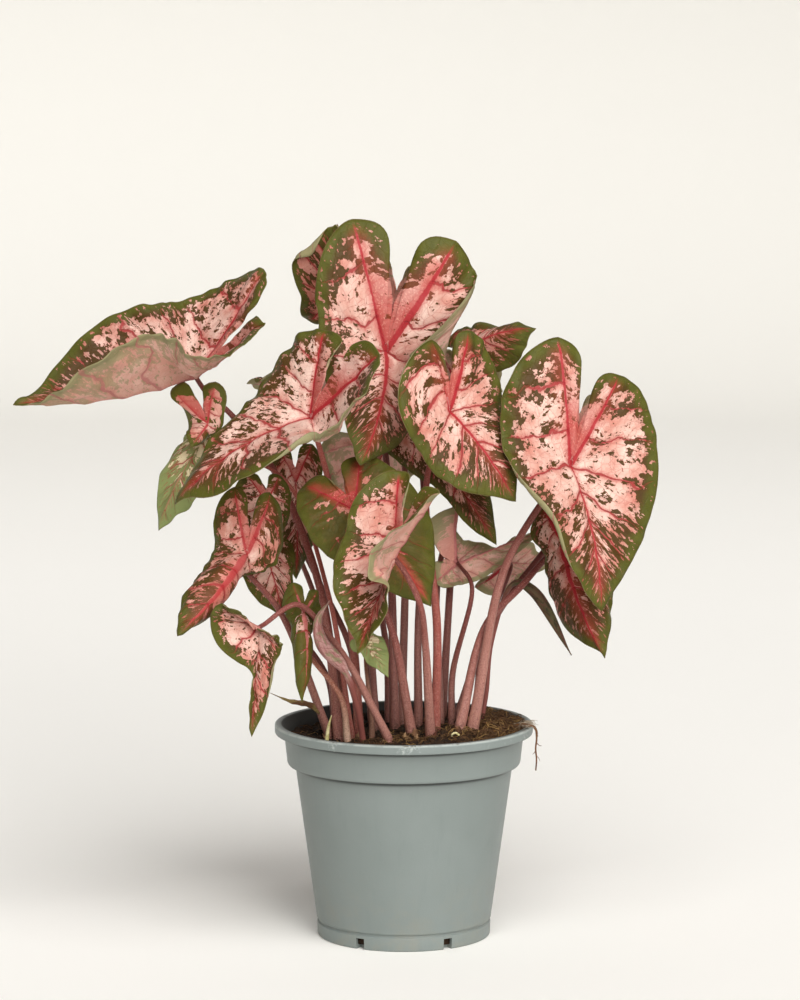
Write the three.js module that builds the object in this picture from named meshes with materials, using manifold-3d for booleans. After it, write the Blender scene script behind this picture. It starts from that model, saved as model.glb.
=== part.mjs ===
// A caladium in a nursery pot: arrow-shaped leaves on bare stalks that rise from tubers in the soil.
// Millimetres, +Z up, +Y to the back. The origin is the middle of the pot's underside.
import * as THREE from "three";
import { mergeVertices } from "three/addons/utils/BufferGeometryUtils.js";
import Module from "manifold-3d";

const manifold = await Module();
manifold.setup();

const CLEARANCE = 0.3; // between pieces that touch

// Pot: standard 14 cm nursery pot, moulded in one piece.
const POT_HEIGHT = 116;
const LIP_RADIUS = 70;
const LIP_HEIGHT = 5;
const LIP_WIDTH = 4;
const BAND_RADIUS = 65;
const BAND_HEIGHT = 17;
const BAND_DRAFT = 2; // the band narrows by this much towards its lower edge
const BODY_RADIUS = 59;
const FOOT_RADIUS = 47;
const FOOT_HEIGHT = 7.3;
const FOOT_GROOVE = 0.7;
const POT_WALL = 1.4;
const POT_FLOOR = 2;
const POT_EDGE = 1; // rounding of the lip and the foot
const POT_LEDGE = 2; // height of the slope under the band
const POT_SIDES = 48;
const DRAIN_COUNT = 6;
const DRAIN_WIDTH = 5;
const DRAIN_HEIGHT = 6;
const DRAIN_DEPTH = 9;

// Soil: loose peat, lowest at the left and heaped at the right.
const SOIL_LEVEL = 108;
const SOIL_HEAP = 6;
const SOIL_BUMP = 1.1;
const LUMP_LENGTHS = [7, 6]; // a lump's size along X and Y, over 2 pi
const CRUMB_LENGTHS = [3.3, 4.1];
const SOIL_RINGS = 5;

// Tubers: two flattened ones side by side, well under the surface.
const TUBER_SPREAD = 22.5;
const TUBER_RADII = [21, 27, 13];
const TUBER_LEVEL = 60;
const TUBER_SHOULDER = 0.8; // stalks end on the part of a tuber within this share of its outline
const TUBER_RINGS = 5;
const TUBER_SIDES = 12;

// Blades. Half the outline of a flat blade, tip to notch: along the midrib and across, in hub-to-tip lengths.
const HALF_OUTLINE = [
  [1, 0],
  [0.89, 0.09],
  [0.71, 0.26],
  [0.47, 0.42],
  [0.2, 0.51],
  [-0.08, 0.54],
  [-0.34, 0.5],
  [-0.53, 0.38],
  [-0.6, 0.21],
  [-0.55, 0.08],
  [-0.33, 0.04],
  [-0.15, 0],
];
const BLADE_THICKNESS = 0.65;
const BLADE_RINGS = [0.35, 0.7, 1];
const WAVE_HEIGHT = 2;
const WAVES_PER_SIDE = 2.5;
const WAVE_PHASES = [0.8, -0.8]; // radians, for side A and side B
const ARCH = { tip: 0.08, sideA: 0.05, sideB: 0.05, back: 0.05 };
// Where the main ribs run in the flat blade, and how far out each one is measured.
const SHOULDER = { angle: THREE.MathUtils.degToRad(40), reach: 0.645 };
const SIDE = { angle: THREE.MathUtils.degToRad(95), reach: 0.54 };
const LOBE = { angle: THREE.MathUtils.degToRad(157), reach: 0.65 };
const ROUNDNESS = 1.15; // how fully the blade bows from one rib to the next
const ANGLE_STEP = 0.02; // radians, to either side, for the slope of a blade
// Both sides of the blade come together between these distances from the hub, behind it.
const NOTCH_START = 0.15;
const NOTCH_END = 0.4;

// Stalks.
const STALK_SIDES = 6;
const STALK_STEPS = 9;
const ROLLED_STEPS = 18;
const STALK_FOOT_RADIUS = 2.7;
const STALK_TOP_SHARE = 0.5;
const STALK_END_RADIUS = 0.6;
const STALK_END_TILT = 0.45; // how far the end's edge can stand off its middle, towards the blade
const STALK_END_TAPER = 2.5;
const STALK_CLEAR_OF_SOIL = 3;
const SEATING_PASSES = 4; // to find where a leaning stalk meets its tuber
const STALK_LEAN = 0.45; // of the slope from the foot to the hub
const STALK_RISE = 0.3; // of its length, over which a stalk with no via points rises straight
const STALK_ARRIVAL = 0.3; // of its last stretch, over which a stalk bends in under its blade
const ROLL_SKEW = 0.7; // below 1, a rolled leaf is thickest before its middle

const BLADE_LOOK = { color: 0x4f5a2c, roughness: 0.55 };
const STALK_LOOK = { color: 0x9a5a58, roughness: 0.5 };
const ROLLED_PINK = { color: 0xa8636a, roughness: 0.5 };
const ROLLED_DARK = { color: 0x5a4a3c, roughness: 0.5 };
const TUBER_LOOK = { color: 0x8a6a48, roughness: 0.9 };
const POT_LOOK = { color: 0x7f8a8c, roughness: 0.45 };
const SOIL_LOOK = { color: 0x3d2c20, roughness: 0.95 };

// Open leaves. Each has points of its blade: the hub, where the stalk joins it, the tip, the lobes behind the
// hub, the sides and the shoulders between the sides and the tip. The first of each pair is on side A, which
// lies anticlockwise of the tip as seen from above the upper face. The foot is where its stalk leaves the soil,
// via lists points that the stalk passes through, and radius is the stalk's at its foot.
const LEAVES = [
  {
    name: "far_left",
    hub: [-112, 10, 303],
    tip: [-209, -10, 290],
    lobes: [[-72, -15, 332], [-73, 20, 359]],
    sides: [[-112, -38, 318], [-120, 32, 342]],
    shoulders: [[-139, -35, 328], [-154, 22, 338]],
    arch: { tip: -0.05, sideA: -0.1, sideB: -0.05, back: 0 },
    foot: [-35, -14],
    via: [[-45, -2, 189], [-71, 14, 253], [-93, 14, 282]],
    wave: 6,
    phases: [2.2, 2.2],
  },
  {
    name: "small_left",
    hub: [-105, -5, 279],
    tip: [-114, -12, 267],
    lobes: [[-101, -2, 302], [-126, 10, 297]],
    sides: [[-96, -6, 284], [-118, 4, 285]],
    shoulders: [[-104, -4, 272], [-116, -2, 276]],
    foot: [-28, -13],
    via: [[-41, -8, 189], [-63, 8, 246], [-88, 7, 262]],
    radius: 1.6,
  },
  {
    name: "pale_left",
    hub: [-108, 12, 269],
    tip: [-132, -2, 221],
    lobes: [[-103, 20, 276], [-117, 22, 271]],
    sides: [[-104, 7, 266], [-120, 16, 267]],
    shoulders: [[-107, -4, 247], [-132, 8, 249]],
    foot: [-31, 14],
    via: [[-52, 28, 190], [-84, 30, 250]],
    radius: 1.8,
  },
  {
    name: "broad_left",
    hub: [-49, -35, 285],
    tip: [-120, -60, 243],
    lobes: [[-13, -60, 322], [-43, -15, 331]],
    sides: [[-38, -85, 283], [-68, -5, 312]],
    shoulders: [[-55, -85, 276], [-88, -22, 288]],
    arch: { tip: 0.08, sideA: -0.25, sideB: 0.05, back: 0 },
    foot: [-24, -8],
  },
  {
    name: "top",
    hub: [-10, 0, 317],
    tip: [-23, -45, 261],
    lobes: [[29, 8, 377], [-28, 10, 389]],
    sides: [[29, 12, 325], [-46, -5, 334]],
    shoulders: [[8, 15, 297], [-37, -30, 295]],
    foot: [-5, 4],
    via: [[-9, 20, 250]],
  },
  {
    name: "top_left",
    hub: [-40, 35, 345],
    tip: [-37, 20, 387],
    lobes: [[-52, 45, 330], [-32, 45, 333]],
    sides: [[-56, 32, 345], [-29, 38, 351]],
    shoulders: [[-59, 24, 368], [-29, 35, 370]],
    foot: [-15, 10],
    radius: 2,
    via: [[-24, 34, 240], [-32, 52, 315]],
  },
  {
    name: "centre_right",
    hub: [24, -30, 288],
    tip: [59, -45, 242],
    lobes: [[34, -20, 331], [14, -25, 325]],
    sides: [[48, -12, 308], [5, -48, 275]],
    shoulders: [[55, -25, 281], [23, -52, 252]],
    foot: [17, -6],
  },
  {
    name: "upper_right",
    hub: [38, 20, 320],
    tip: [71, 0, 330],
    lobes: [[26, 42, 326], [29, 22, 310]],
    sides: [[39, 35, 328], [44, 10, 305]],
    shoulders: [[56, 22, 331], [62, 2, 313]],
    foot: [20, 6],
    radius: 2,
    via: [[20, 27, 200]],
  },
  {
    name: "broad_right",
    hub: [88, -30, 259],
    tip: [104, -55, 185],
    lobes: [[115, -15, 307], [82, -15, 327]],
    sides: [[134, -15, 271], [52, -38, 274]],
    shoulders: [[129, -35, 226], [73, -62, 236]],
    foot: [37, -17],
    via: [[54, -15, 202]],
    radius: 3,
  },
  {
    name: "lower_right",
    hub: [85, -5, 216],
    tip: [107, -30, 156],
    lobes: [[100, 12, 233], [74, 0, 234]],
    sides: [[110, 5, 221], [76, 0, 208]],
    shoulders: [[113, -12, 190], [79, 8, 187]],
    foot: [30, -18],
    via: [[44, -8, 170], [64, 2, 191], [78, 12, 205]],
  },
  {
    name: "front",
    hub: [-5, -70, 215],
    tip: [-24, -105, 170],
    lobes: [[17, -90, 253], [-3, -60, 261]],
    sides: [[-12, -105, 221], [-31, -72, 228]],
    shoulders: [[-9, -112, 201], [-36, -95, 203]],
    foot: [14, -27],
    via: [[11, -48, 168], [8, -64, 191]],
    arch: { tip: 0, sideA: 0.05, sideB: 0.05, back: 0 },
  },
  {
    name: "front_heart",
    hub: [-26, -40, 236],
    tip: [14, -45, 186],
    lobes: [[-23, -30, 265], [-53, -35, 250]],
    sides: [[-5, -32, 257], [-51, -48, 226]],
    shoulders: [[17, -35, 218], [-28, -52, 206]],
    foot: [4, -23],
    via: [[-6, -30, 170]],
  },
  {
    name: "front_small",
    hub: [-21, -30, 163],
    tip: [-8, -42, 148],
    lobes: [[-15, -23, 169], [-26, -24, 167]],
    sides: [[-10, -28, 164], [-23, -35, 159]],
    foot: [-17, -18],
    wave: 0.8,
    radius: 1.5,
  },
  {
    name: "lower_left",
    hub: [-83, -45, 214],
    tip: [-119, -75, 175],
    lobes: [[-70, -35, 246], [-90, -35, 249]],
    sides: [[-74, -36, 205], [-100, -40, 221]],
    shoulders: [[-89, -40, 198], [-107, -45, 205]],
    foot: [-40, -8],
    radius: 2.4,
    via: [[-66, -24, 180]],
  },
  {
    name: "hanging_left",
    hub: [-76, -72, 179],
    tip: [-79, -87, 124],
    lobes: [[-68, -82, 176], [-94, -76, 193]],
    sides: [[-63, -77, 171], [-101, -76, 182]],
    shoulders: [[-67, -80, 160], [-81, -84, 159]],
    foot: [-8, -30],
    via: [[-29, -37, 154], [-39, -42, 169], [-56, -50, 188]],
    radius: 2.3,
    arch: { tip: 0, sideA: 0.05, sideB: 0.05, back: 0 },
    wave: 1,
  },
  {
    name: "narrow_left",
    hub: [-53, -45, 183],
    tip: [-54, -60, 137],
    lobes: [[-46, -39, 194], [-59, -38, 198]],
    sides: [[-46, -38, 182], [-61, -43, 179]],
    shoulders: [[-50, -42, 168], [-59, -48, 166]],
    foot: [-30, -24],
    wave: 1,
    radius: 1.8,
  },
  {
    name: "inner_left",
    hub: [-73, 0, 204],
    tip: [-65, -10, 173],
    lobes: [[-65, 8, 216], [-82, 5, 215]],
    sides: [[-60, 0, 199], [-87, -5, 199]],
    shoulders: [[-61, -4, 184], [-79, -8, 184]],
    foot: [-37, 12],
    wave: 1.2,
    radius: 1.8,
  },
  {
    name: "centre",
    hub: [6, 12, 275],
    tip: [50, 0, 213],
    lobes: [[13, 20, 300], [-4, 22, 286]],
    sides: [[28, 15, 289], [-4, 6, 258]],
    shoulders: [[40, 8, 260], [14, 0, 246]],
    foot: [8, 8],
    radius: 2.4,
  },
  {
    name: "folded_right",
    hub: [29, 12, 201],
    tip: [77, 20, 219],
    lobes: [[17, 6, 192], [27, 15, 232]],
    sides: [[33, 8, 191], [32, 23, 213]],
    shoulders: [[51, 11, 199], [51, 29, 209]],
    foot: [26, 0],
    wave: 1,
    radius: 2,
    arch: { tip: 0, sideA: 0.03, sideB: 0.03, back: 0 },
  },
  {
    name: "curled_right",
    hub: [58, 42, 198],
    tip: [85, 70, 195],
    lobes: [[39, 32, 185], [42, 49, 191]],
    sides: [[64, 45, 189], [60, 62, 207]],
    foot: [29, 16],
    wave: 1,
    radius: 2,
    via: [[44, 30, 160]],
  },
  {
    name: "shaded_left",
    hub: [-74, -4, 236],
    tip: [-77, -12, 204],
    lobes: [[-67, 3, 251], [-85, -2, 252]],
    sides: [[-62, 0, 235], [-91, -8, 238]],
    foot: [-31, -2],
    wave: 1.2,
    radius: 2,
  },
  {
    name: "shaded_inner",
    hub: [-59, 22, 244],
    tip: [-59, 16, 192],
    lobes: [[-50, 26, 265], [-68, 25, 263]],
    sides: [[-50, 22, 240], [-67, 18, 241]],
    foot: [-24, 16],
    wave: 1.2,
    radius: 2,
  },
  {
    name: "back_top",
    hub: [-5, 50, 337],
    tip: [-5, 125, 280],
    lobes: [[-21, 40, 366], [14, 40, 360]],
    sides: [[-30, 70, 335], [23, 70, 335]],
    foot: [-1, 17],
    radius: 2.4,
    via: [[1, 34, 240]],
  },
  {
    name: "back_centre",
    hub: [31, 60, 286],
    tip: [44, 135, 239],
    lobes: [[20, 50, 315], [45, 50, 316]],
    sides: [[9, 80, 287], [54, 80, 293]],
    foot: [21, 24],
    radius: 2.4,
    via: [[28, 42, 225]],
  },
  {
    name: "back_right",
    hub: [94, 45, 265],
    tip: [112, 120, 212],
    lobes: [[77, 35, 294], [113, 35, 291]],
    sides: [[70, 65, 263], [126, 65, 263]],
    foot: [39, 22],
    radius: 2.6,
  },
  {
    name: "back_left",
    hub: [-58, 50, 284],
    tip: [-71, 125, 249],
    lobes: [[-79, 40, 299], [-44, 40, 307]],
    sides: [[-78, 75, 285], [-39, 75, 285]],
    foot: [-17, 24],
    radius: 2.4,
  },
  {
    name: "back_low",
    hub: [-19, 60, 242],
    tip: [-16, 130, 187],
    lobes: [[-30, 50, 270], [-2, 50, 270]],
    sides: [[-44, 80, 239], [1, 80, 234]],
    foot: [-8, 26],
    radius: 2.2,
  },
];

// Leaves still rolled up: a stalk along a path that swells into the roll after the share given by rollStart.
const ROLLED_LEAVES = [
  {
    name: "rolled_left",
    foot: [-22, -27],
    path: [[-25, -34, 131], [-32, -44, 153], [-43, -52, 168], [-45, -56, 181], [-39, -56, 191]],
    stalkRadius: 1.7,
    rollRadius: 4,
    rollStart: 0.42,
    look: ROLLED_PINK,
  },
  {
    name: "rolled_right",
    foot: [43, 12],
    path: [[45, 13, 130], [48, 14, 159], [60, 16, 190], [70, 14, 186], [91, 5, 152]],
    stalkRadius: 1.3,
    rollRadius: 3.2,
    rollStart: 0.55,
    look: ROLLED_DARK,
  },
];

const vector = (point) => new THREE.Vector3(...point);
const smoothStep = (x) => THREE.MathUtils.smoothstep(x, 0, 1);

// ---- solids -------------------------------------------------------------------------------------------------

function geometryOf(points, faces) {
  const geometry = new THREE.BufferGeometry();
  geometry.setFromPoints(points);
  geometry.setIndex(faces);
  return geometry;
}

// Closed skin over rings of equal length, with a fan to the middle of the first ring and of the last.
function skinOver(rings) {
  const sides = rings[0].length;
  const points = rings.flat();
  const faces = [];
  const next = (side) => (side + 1) % sides;
  for (let ring = 0; ring + 1 < rings.length; ring++) {
    const low = ring * sides;
    for (let side = 0; side < sides; side++) {
      faces.push(low + side, low + next(side), low + sides + next(side));
      faces.push(low + side, low + sides + next(side), low + sides + side);
    }
  }
  const top = (rings.length - 1) * sides;
  const middle = (ring) => ring.reduce((sum, p) => sum.add(p), new THREE.Vector3()).divideScalar(sides);
  const lowMiddle = points.push(middle(rings[0])) - 1;
  const topMiddle = points.push(middle(rings.at(-1))) - 1;
  for (let side = 0; side < sides; side++) {
    faces.push(lowMiddle, next(side), side);
    faces.push(topMiddle, top + side, top + next(side));
  }
  return geometryOf(points, faces);
}

function ringAt(sides, place) {
  return Array.from({ length: sides }, (_, side) => place((2 * Math.PI * side) / sides));
}

// A turned solid over [radius, height] pairs that run up the outside, whatever way they go after that.
function turned(profile, sides) {
  const rings = profile.map(([radius, height]) =>
    ringAt(sides, (angle) => new THREE.Vector3(radius * Math.cos(angle), radius * Math.sin(angle), height)),
  );
  return skinOver(rings);
}

function toManifold(geometry) {
  const mesh = new manifold.Mesh({
    numProp: 3,
    vertProperties: geometry.getAttribute("position").array,
    triVerts: new Uint32Array(geometry.index.array),
  });
  return new manifold.Manifold(mesh);
}

function toGeometry(solid) {
  const mesh = solid.getMesh();
  const geometry = new THREE.BufferGeometry();
  geometry.setAttribute("position", new THREE.BufferAttribute(mesh.vertProperties, 3));
  geometry.setIndex(new THREE.BufferAttribute(mesh.triVerts, 1));
  return geometry;
}

function cutFrom(geometry, cutters) {
  const whole = toManifold(geometry);
  return toGeometry(whole.subtract(manifold.Manifold.union(cutters.map(toManifold))));
}

// ---- pot ----------------------------------------------------------------------------------------------------

const LIP_UNDERSIDE = POT_HEIGHT - LIP_HEIGHT;
const BAND_UNDERSIDE = LIP_UNDERSIDE - BAND_HEIGHT;
const POT_STEP_TOP = BAND_UNDERSIDE + POT_LEDGE + POT_WALL;
// The inside, from the lip down to the floor, as radius and height.
const POT_INSIDE = [
  [LIP_RADIUS - LIP_WIDTH, POT_HEIGHT],
  [BAND_RADIUS - POT_WALL, LIP_UNDERSIDE],
  [BAND_RADIUS - BAND_DRAFT - POT_WALL, POT_STEP_TOP],
  [BODY_RADIUS - POT_WALL, BAND_UNDERSIDE + POT_WALL],
  [FOOT_RADIUS - FOOT_GROOVE - POT_WALL, FOOT_HEIGHT],
  [FOOT_RADIUS - FOOT_GROOVE - POT_WALL, POT_FLOOR],
];

function bodyRadiusAt(height) {
  const share = (height - FOOT_HEIGHT) / (BAND_UNDERSIDE - FOOT_HEIGHT);
  return THREE.MathUtils.lerp(FOOT_RADIUS, BODY_RADIUS, share);
}

function potGeometry() {
  const grooveTop = FOOT_HEIGHT + 2 * FOOT_GROOVE;
  const outside = [
    [FOOT_RADIUS - POT_EDGE, 0],
    [FOOT_RADIUS, POT_EDGE],
    [FOOT_RADIUS, FOOT_HEIGHT],
    [FOOT_RADIUS - FOOT_GROOVE, FOOT_HEIGHT + FOOT_GROOVE / 2],
    [FOOT_RADIUS - FOOT_GROOVE, grooveTop],
    [bodyRadiusAt(grooveTop + FOOT_GROOVE), grooveTop + FOOT_GROOVE],
    [BODY_RADIUS, BAND_UNDERSIDE],
    [BAND_RADIUS - BAND_DRAFT - POT_EDGE, BAND_UNDERSIDE + POT_EDGE / 2],
    [BAND_RADIUS - BAND_DRAFT, BAND_UNDERSIDE + POT_LEDGE],
    [BAND_RADIUS, LIP_UNDERSIDE],
    [LIP_RADIUS - POT_EDGE / 2, LIP_UNDERSIDE],
    [LIP_RADIUS, LIP_UNDERSIDE + POT_EDGE],
    [LIP_RADIUS, POT_HEIGHT - POT_EDGE],
    [LIP_RADIUS - POT_EDGE, POT_HEIGHT],
  ];
  const drains = Array.from({ length: DRAIN_COUNT }, (_, i) => {
    const drain = new THREE.BoxGeometry(DRAIN_WIDTH, DRAIN_DEPTH, 2 * DRAIN_HEIGHT);
    drain.translate(0, FOOT_RADIUS, 0);
    drain.rotateZ(((i + 0.5) * 2 * Math.PI) / DRAIN_COUNT);
    return weld(drain);
  });
  return cutFrom(turned([...outside, ...POT_INSIDE], POT_SIDES), drains);
}

function potInsideRadiusAt(height) {
  const below = POT_INSIDE.findIndex(([, level]) => level <= height);
  const [lowRadius, low] = POT_INSIDE[below];
  const [highRadius, high] = POT_INSIDE[below - 1];
  return THREE.MathUtils.mapLinear(height, low, high, lowRadius, highRadius);
}

// ---- tubers and soil ----------------------------------------------------------------------------------------

function tuberGeometry(side, growth) {
  const [radiusX, radiusY, radiusZ] = TUBER_RADII.map((radius) => radius + growth);
  const rings = Array.from({ length: TUBER_RINGS }, (_, i) => {
    const latitude = Math.PI * ((i + 0.5) / TUBER_RINGS - 0.5);
    const width = Math.cos(latitude);
    return ringAt(TUBER_SIDES, (angle) => new THREE.Vector3(
      side * TUBER_SPREAD + radiusX * width * Math.cos(angle),
      radiusY * width * Math.sin(angle),
      TUBER_LEVEL + radiusZ * Math.sin(latitude),
    ));
  });
  return skinOver(rings);
}

// Height of a tuber's top under a point, taken nearer its middle by the stalk's own radius.
function tuberTopAt(x, y, radius) {
  const offset = new THREE.Vector2(x - Math.sign(x) * TUBER_SPREAD, y);
  offset.setLength(Math.max(offset.length() - radius, 0));
  const share = (offset.x / TUBER_RADII[0]) ** 2 + (offset.y / TUBER_RADII[1]) ** 2;
  return TUBER_LEVEL + TUBER_RADII[2] * Math.sqrt(1 - Math.min(share, TUBER_SHOULDER));
}

function soilHeightAt(x, y) {
  const heap = SOIL_HEAP * smoothStep(0.5 + x / (2 * BODY_RADIUS));
  const lumps = Math.sin(x / LUMP_LENGTHS[0]) * Math.cos(y / LUMP_LENGTHS[1]);
  const crumbs = Math.sin(x / CRUMB_LENGTHS[0] + y / CRUMB_LENGTHS[1]) / 2;
  return SOIL_LEVEL + heap + SOIL_BUMP * (lumps + crumbs);
}

// A ring 0.3 mm inside the pot's wall, at a height given for each angle.
function ringInPot(heightAt) {
  return ringAt(POT_SIDES, (angle) => {
    const height = heightAt(angle);
    const radius = potInsideRadiusAt(Math.max(height - CLEARANCE, POT_FLOOR)) - CLEARANCE;
    return new THREE.Vector3(radius * Math.cos(angle), radius * Math.sin(angle), height);
  });
}

function soilGeometry(holes) {
  const edgeHeight = (angle) => soilHeightAt(BAND_RADIUS * Math.cos(angle), BAND_RADIUS * Math.sin(angle));
  const levels = [POT_FLOOR, FOOT_HEIGHT, BAND_UNDERSIDE + POT_WALL, POT_STEP_TOP];
  const wall = levels.map((level) => ringInPot(() => level + CLEARANCE));
  const underLip = ringInPot((angle) => Math.min(LIP_UNDERSIDE + CLEARANCE, edgeHeight(angle) - SOIL_BUMP));
  const edge = ringInPot(edgeHeight);
  const surface = Array.from({ length: SOIL_RINGS - 1 }, (_, i) => edge.map((point) => {
    const share = 1 - (i + 1) / SOIL_RINGS;
    const [x, y] = [point.x * share, point.y * share];
    return new THREE.Vector3(x, y, soilHeightAt(x, y));
  }));
  const cavities = [-1, 1].map((side) => tuberGeometry(side, CLEARANCE));
  return cutFrom(skinOver([...wall, underLip, edge, ...surface]), [...cavities, ...holes]);
}

// ---- blades -------------------------------------------------------------------------------------------------

// The outline of a flat blade, tip to notch along side A and back along side B. Side A is at positive w, and s
// runs from 0 at the tip to 1 at the notch.
const SIDE_A = HALF_OUTLINE.map(([u, w], i) => ({ u, w, s: i / (HALF_OUTLINE.length - 1) }));
const SIDE_B = SIDE_A.slice(1, -1).map(({ u, w, s }) => ({ u, w: -w, s })).reverse();
const OUTLINE = [...SIDE_A, ...SIDE_B];

// The main ribs by signed angle in the flat blade: a unit direction, and a size for a flat length of 1.
function ribsOf(leaf) {
  const hub = vector(leaf.hub);
  const rib = (angle, point, reach) => {
    const direction = vector(point).sub(hub).divideScalar(reach);
    const size = direction.length();
    return { angle, direction: direction.normalize(), size };
  };
  const ribs = [rib(0, leaf.tip, 1)];
  [1, -1].forEach((sign, i) => {
    if (leaf.shoulders) ribs.push(rib(sign * SHOULDER.angle, leaf.shoulders[i], SHOULDER.reach));
    ribs.push(rib(sign * SIDE.angle, leaf.sides[i], SIDE.reach));
    ribs.push(rib(sign * LOBE.angle, leaf.lobes[i], LOBE.reach));
  });
  return ribs.sort((a, b) => a.angle - b.angle);
}

function hermite(t, step, from, to, fromSlope, toSlope) {
  return (
    (2 * t ** 3 - 3 * t ** 2 + 1) * from +
    (t ** 3 - 2 * t ** 2 + t) * step * fromSlope +
    (-2 * t ** 3 + 3 * t ** 2) * to +
    (t ** 3 - t ** 2) * step * toSlope
  );
}

// The vector from the hub, for a flat length of 1, along any angle of the flat blade.
function reachAlong(angle, ribs) {
  const last = ribs.length - 1;
  if (Math.abs(angle) > LOBE.angle) {
    const end = angle > 0 ? ribs[last] : ribs[0];
    const middle = ribs[last].direction.clone().add(ribs[0].direction).normalize();
    const share = (Math.abs(angle) - LOBE.angle) / (Math.PI - LOBE.angle);
    return end.direction.clone().lerp(middle, share).setLength(end.size);
  }
  const i = Math.min(ribs.findLastIndex((rib) => rib.angle <= angle), last - 1);
  const step = ribs[i + 1].angle - ribs[i].angle;
  const t = (angle - ribs[i].angle) / step;
  const between = (value, roundness) => {
    const slope = (k) => {
      const [low, high] = [Math.max(k - 1, 0), Math.min(k + 1, last)];
      return (roundness * (value(ribs[high]) - value(ribs[low]))) / (ribs[high].angle - ribs[low].angle);
    };
    return hermite(t, step, value(ribs[i]), value(ribs[i + 1]), slope(i), slope(i + 1));
  };
  const axes = ["x", "y", "z"].map((axis) => between((rib) => rib.direction[axis], ROUNDNESS));
  return vector(axes).setLength(between((rib) => rib.size, 1));
}

// Middle surface of a blade: the hub, then rings from it out to the waved edge.
function bladeSurface(leaf) {
  const ribs = ribsOf(leaf);
  const hub = vector(leaf.hub);
  const arch = leaf.arch ?? ARCH;
  const waveHeight = leaf.wave ?? WAVE_HEIGHT;
  const [phaseA, phaseB] = leaf.phases ?? WAVE_PHASES;
  const notch = reachAlong(Math.PI, ribs).add(reachAlong(-Math.PI, ribs)).divideScalar(2);
  const spokes = OUTLINE.map(({ u, w, s }) => {
    const distance = Math.hypot(u, w);
    const angle = Math.atan2(w, u);
    const toNotch = smoothStep((NOTCH_END - distance) / (NOTCH_END - NOTCH_START));
    const reach = reachAlong(angle, ribs).lerp(notch, toNotch);
    const around = reachAlong(Math.min(angle + ANGLE_STEP, Math.PI), ribs);
    around.sub(reachAlong(Math.max(angle - ANGLE_STEP, -Math.PI), ribs));
    const forward = Math.max(Math.cos(angle), 0) ** 2;
    const backward = Math.max(-Math.cos(angle), 0) ** 2;
    const sideways = Math.sin(angle) ** 2;
    const sideArch = angle >= 0 ? arch.sideA : arch.sideB;
    const phase = w >= 0 ? phaseA : phaseB;
    const wave = Math.sin(2 * Math.PI * WAVES_PER_SIDE * s + phase) * Math.sin(Math.PI * s);
    return {
      edge: reach.clone().multiplyScalar(distance),
      normal: reach.clone().cross(around).normalize(),
      bulge: arch.tip * forward + sideArch * sideways + arch.back * backward,
      wave: waveHeight * wave,
    };
  });
  const rings = BLADE_RINGS.map((share) => spokes.map(({ edge, normal, bulge, wave }) => {
    const lift = bulge * edge.length() * 4 * share * (1 - share) + wave * share ** 3;
    return hub.clone().addScaledVector(edge, share).addScaledVector(normal, lift);
  }));
  return { hub, rings };
}

// Faces of one side of a blade over its points: the hub first, then each ring.
function bladeFaces() {
  const count = OUTLINE.length;
  const faces = [];
  for (let i = 0; i < count; i++) {
    const next = (i + 1) % count;
    faces.push(0, 1 + i, 1 + next);
    for (let ring = 1; ring < BLADE_RINGS.length; ring++) {
      const inner = 1 + (ring - 1) * count;
      const outer = inner + count;
      faces.push(inner + i, outer + i, outer + next);
      faces.push(inner + i, outer + next, inner + next);
    }
  }
  return faces;
}

function bladeGeometry(leaf) {
  const { hub, rings } = bladeSurface(leaf);
  const middle = [hub, ...rings.flat()];
  const faces = bladeFaces();
  const flat = geometryOf(middle, faces);
  flat.computeVertexNormals();
  const normals = middle.map((_, i) => new THREE.Vector3().fromBufferAttribute(flat.getAttribute("normal"), i));
  const face = (offset) => middle.map((point, i) => point.clone().addScaledVector(normals[i], offset));
  const points = [...face(BLADE_THICKNESS / 2), ...face(-BLADE_THICKNESS / 2)];
  const under = middle.length;
  const closed = [...faces];
  for (let i = 0; i < faces.length; i += 3) {
    closed.push(under + faces[i], under + faces[i + 2], under + faces[i + 1]);
  }
  const edge = middle.length - OUTLINE.length;
  for (let i = 0; i < OUTLINE.length; i++) {
    const [a, b] = [edge + i, edge + ((i + 1) % OUTLINE.length)];
    closed.push(a, under + b, b, a, under + a, under + b);
  }
  return { geometry: geometryOf(points, closed), hubNormal: normals[0] };
}

// ---- stalks -------------------------------------------------------------------------------------------------

// The straight stretch of a stalk, from the tuber to just above the soil, aimed part of the way to a point.
function straightStretch([x, y], target, radius) {
  const foot = new THREE.Vector3(x, y, soilHeightAt(x, y));
  const rise = vector(target).sub(foot);
  const direction = new THREE.Vector3(rise.x, rise.y, 0).multiplyScalar(STALK_LEAN / rise.z);
  direction.setZ(1);
  const bottom = foot.clone();
  for (let pass = 0; pass < SEATING_PASSES; pass++) {
    const depth = foot.z - tuberTopAt(bottom.x, bottom.y, radius) - CLEARANCE;
    bottom.copy(foot).addScaledVector(direction, -depth);
  }
  const top = foot.clone().addScaledVector(direction, STALK_CLEAR_OF_SOIL);
  return { bottom, top, direction: direction.normalize() };
}

// A round skin along points, with the given radius at each.
function tubeAlong(points, directions, radii) {
  const across = new THREE.Vector3(1, 0, 0);
  const rings = points.map((point, i) => {
    const direction = directions[i];
    across.addScaledVector(direction, -across.dot(direction)).normalize();
    const second = direction.clone().cross(across);
    const first = across.clone();
    return ringAt(STALK_SIDES, (angle) => point.clone()
      .addScaledVector(first, radii[i] * Math.cos(angle))
      .addScaledVector(second, radii[i] * Math.sin(angle)));
  });
  return skinOver(rings);
}

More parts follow.
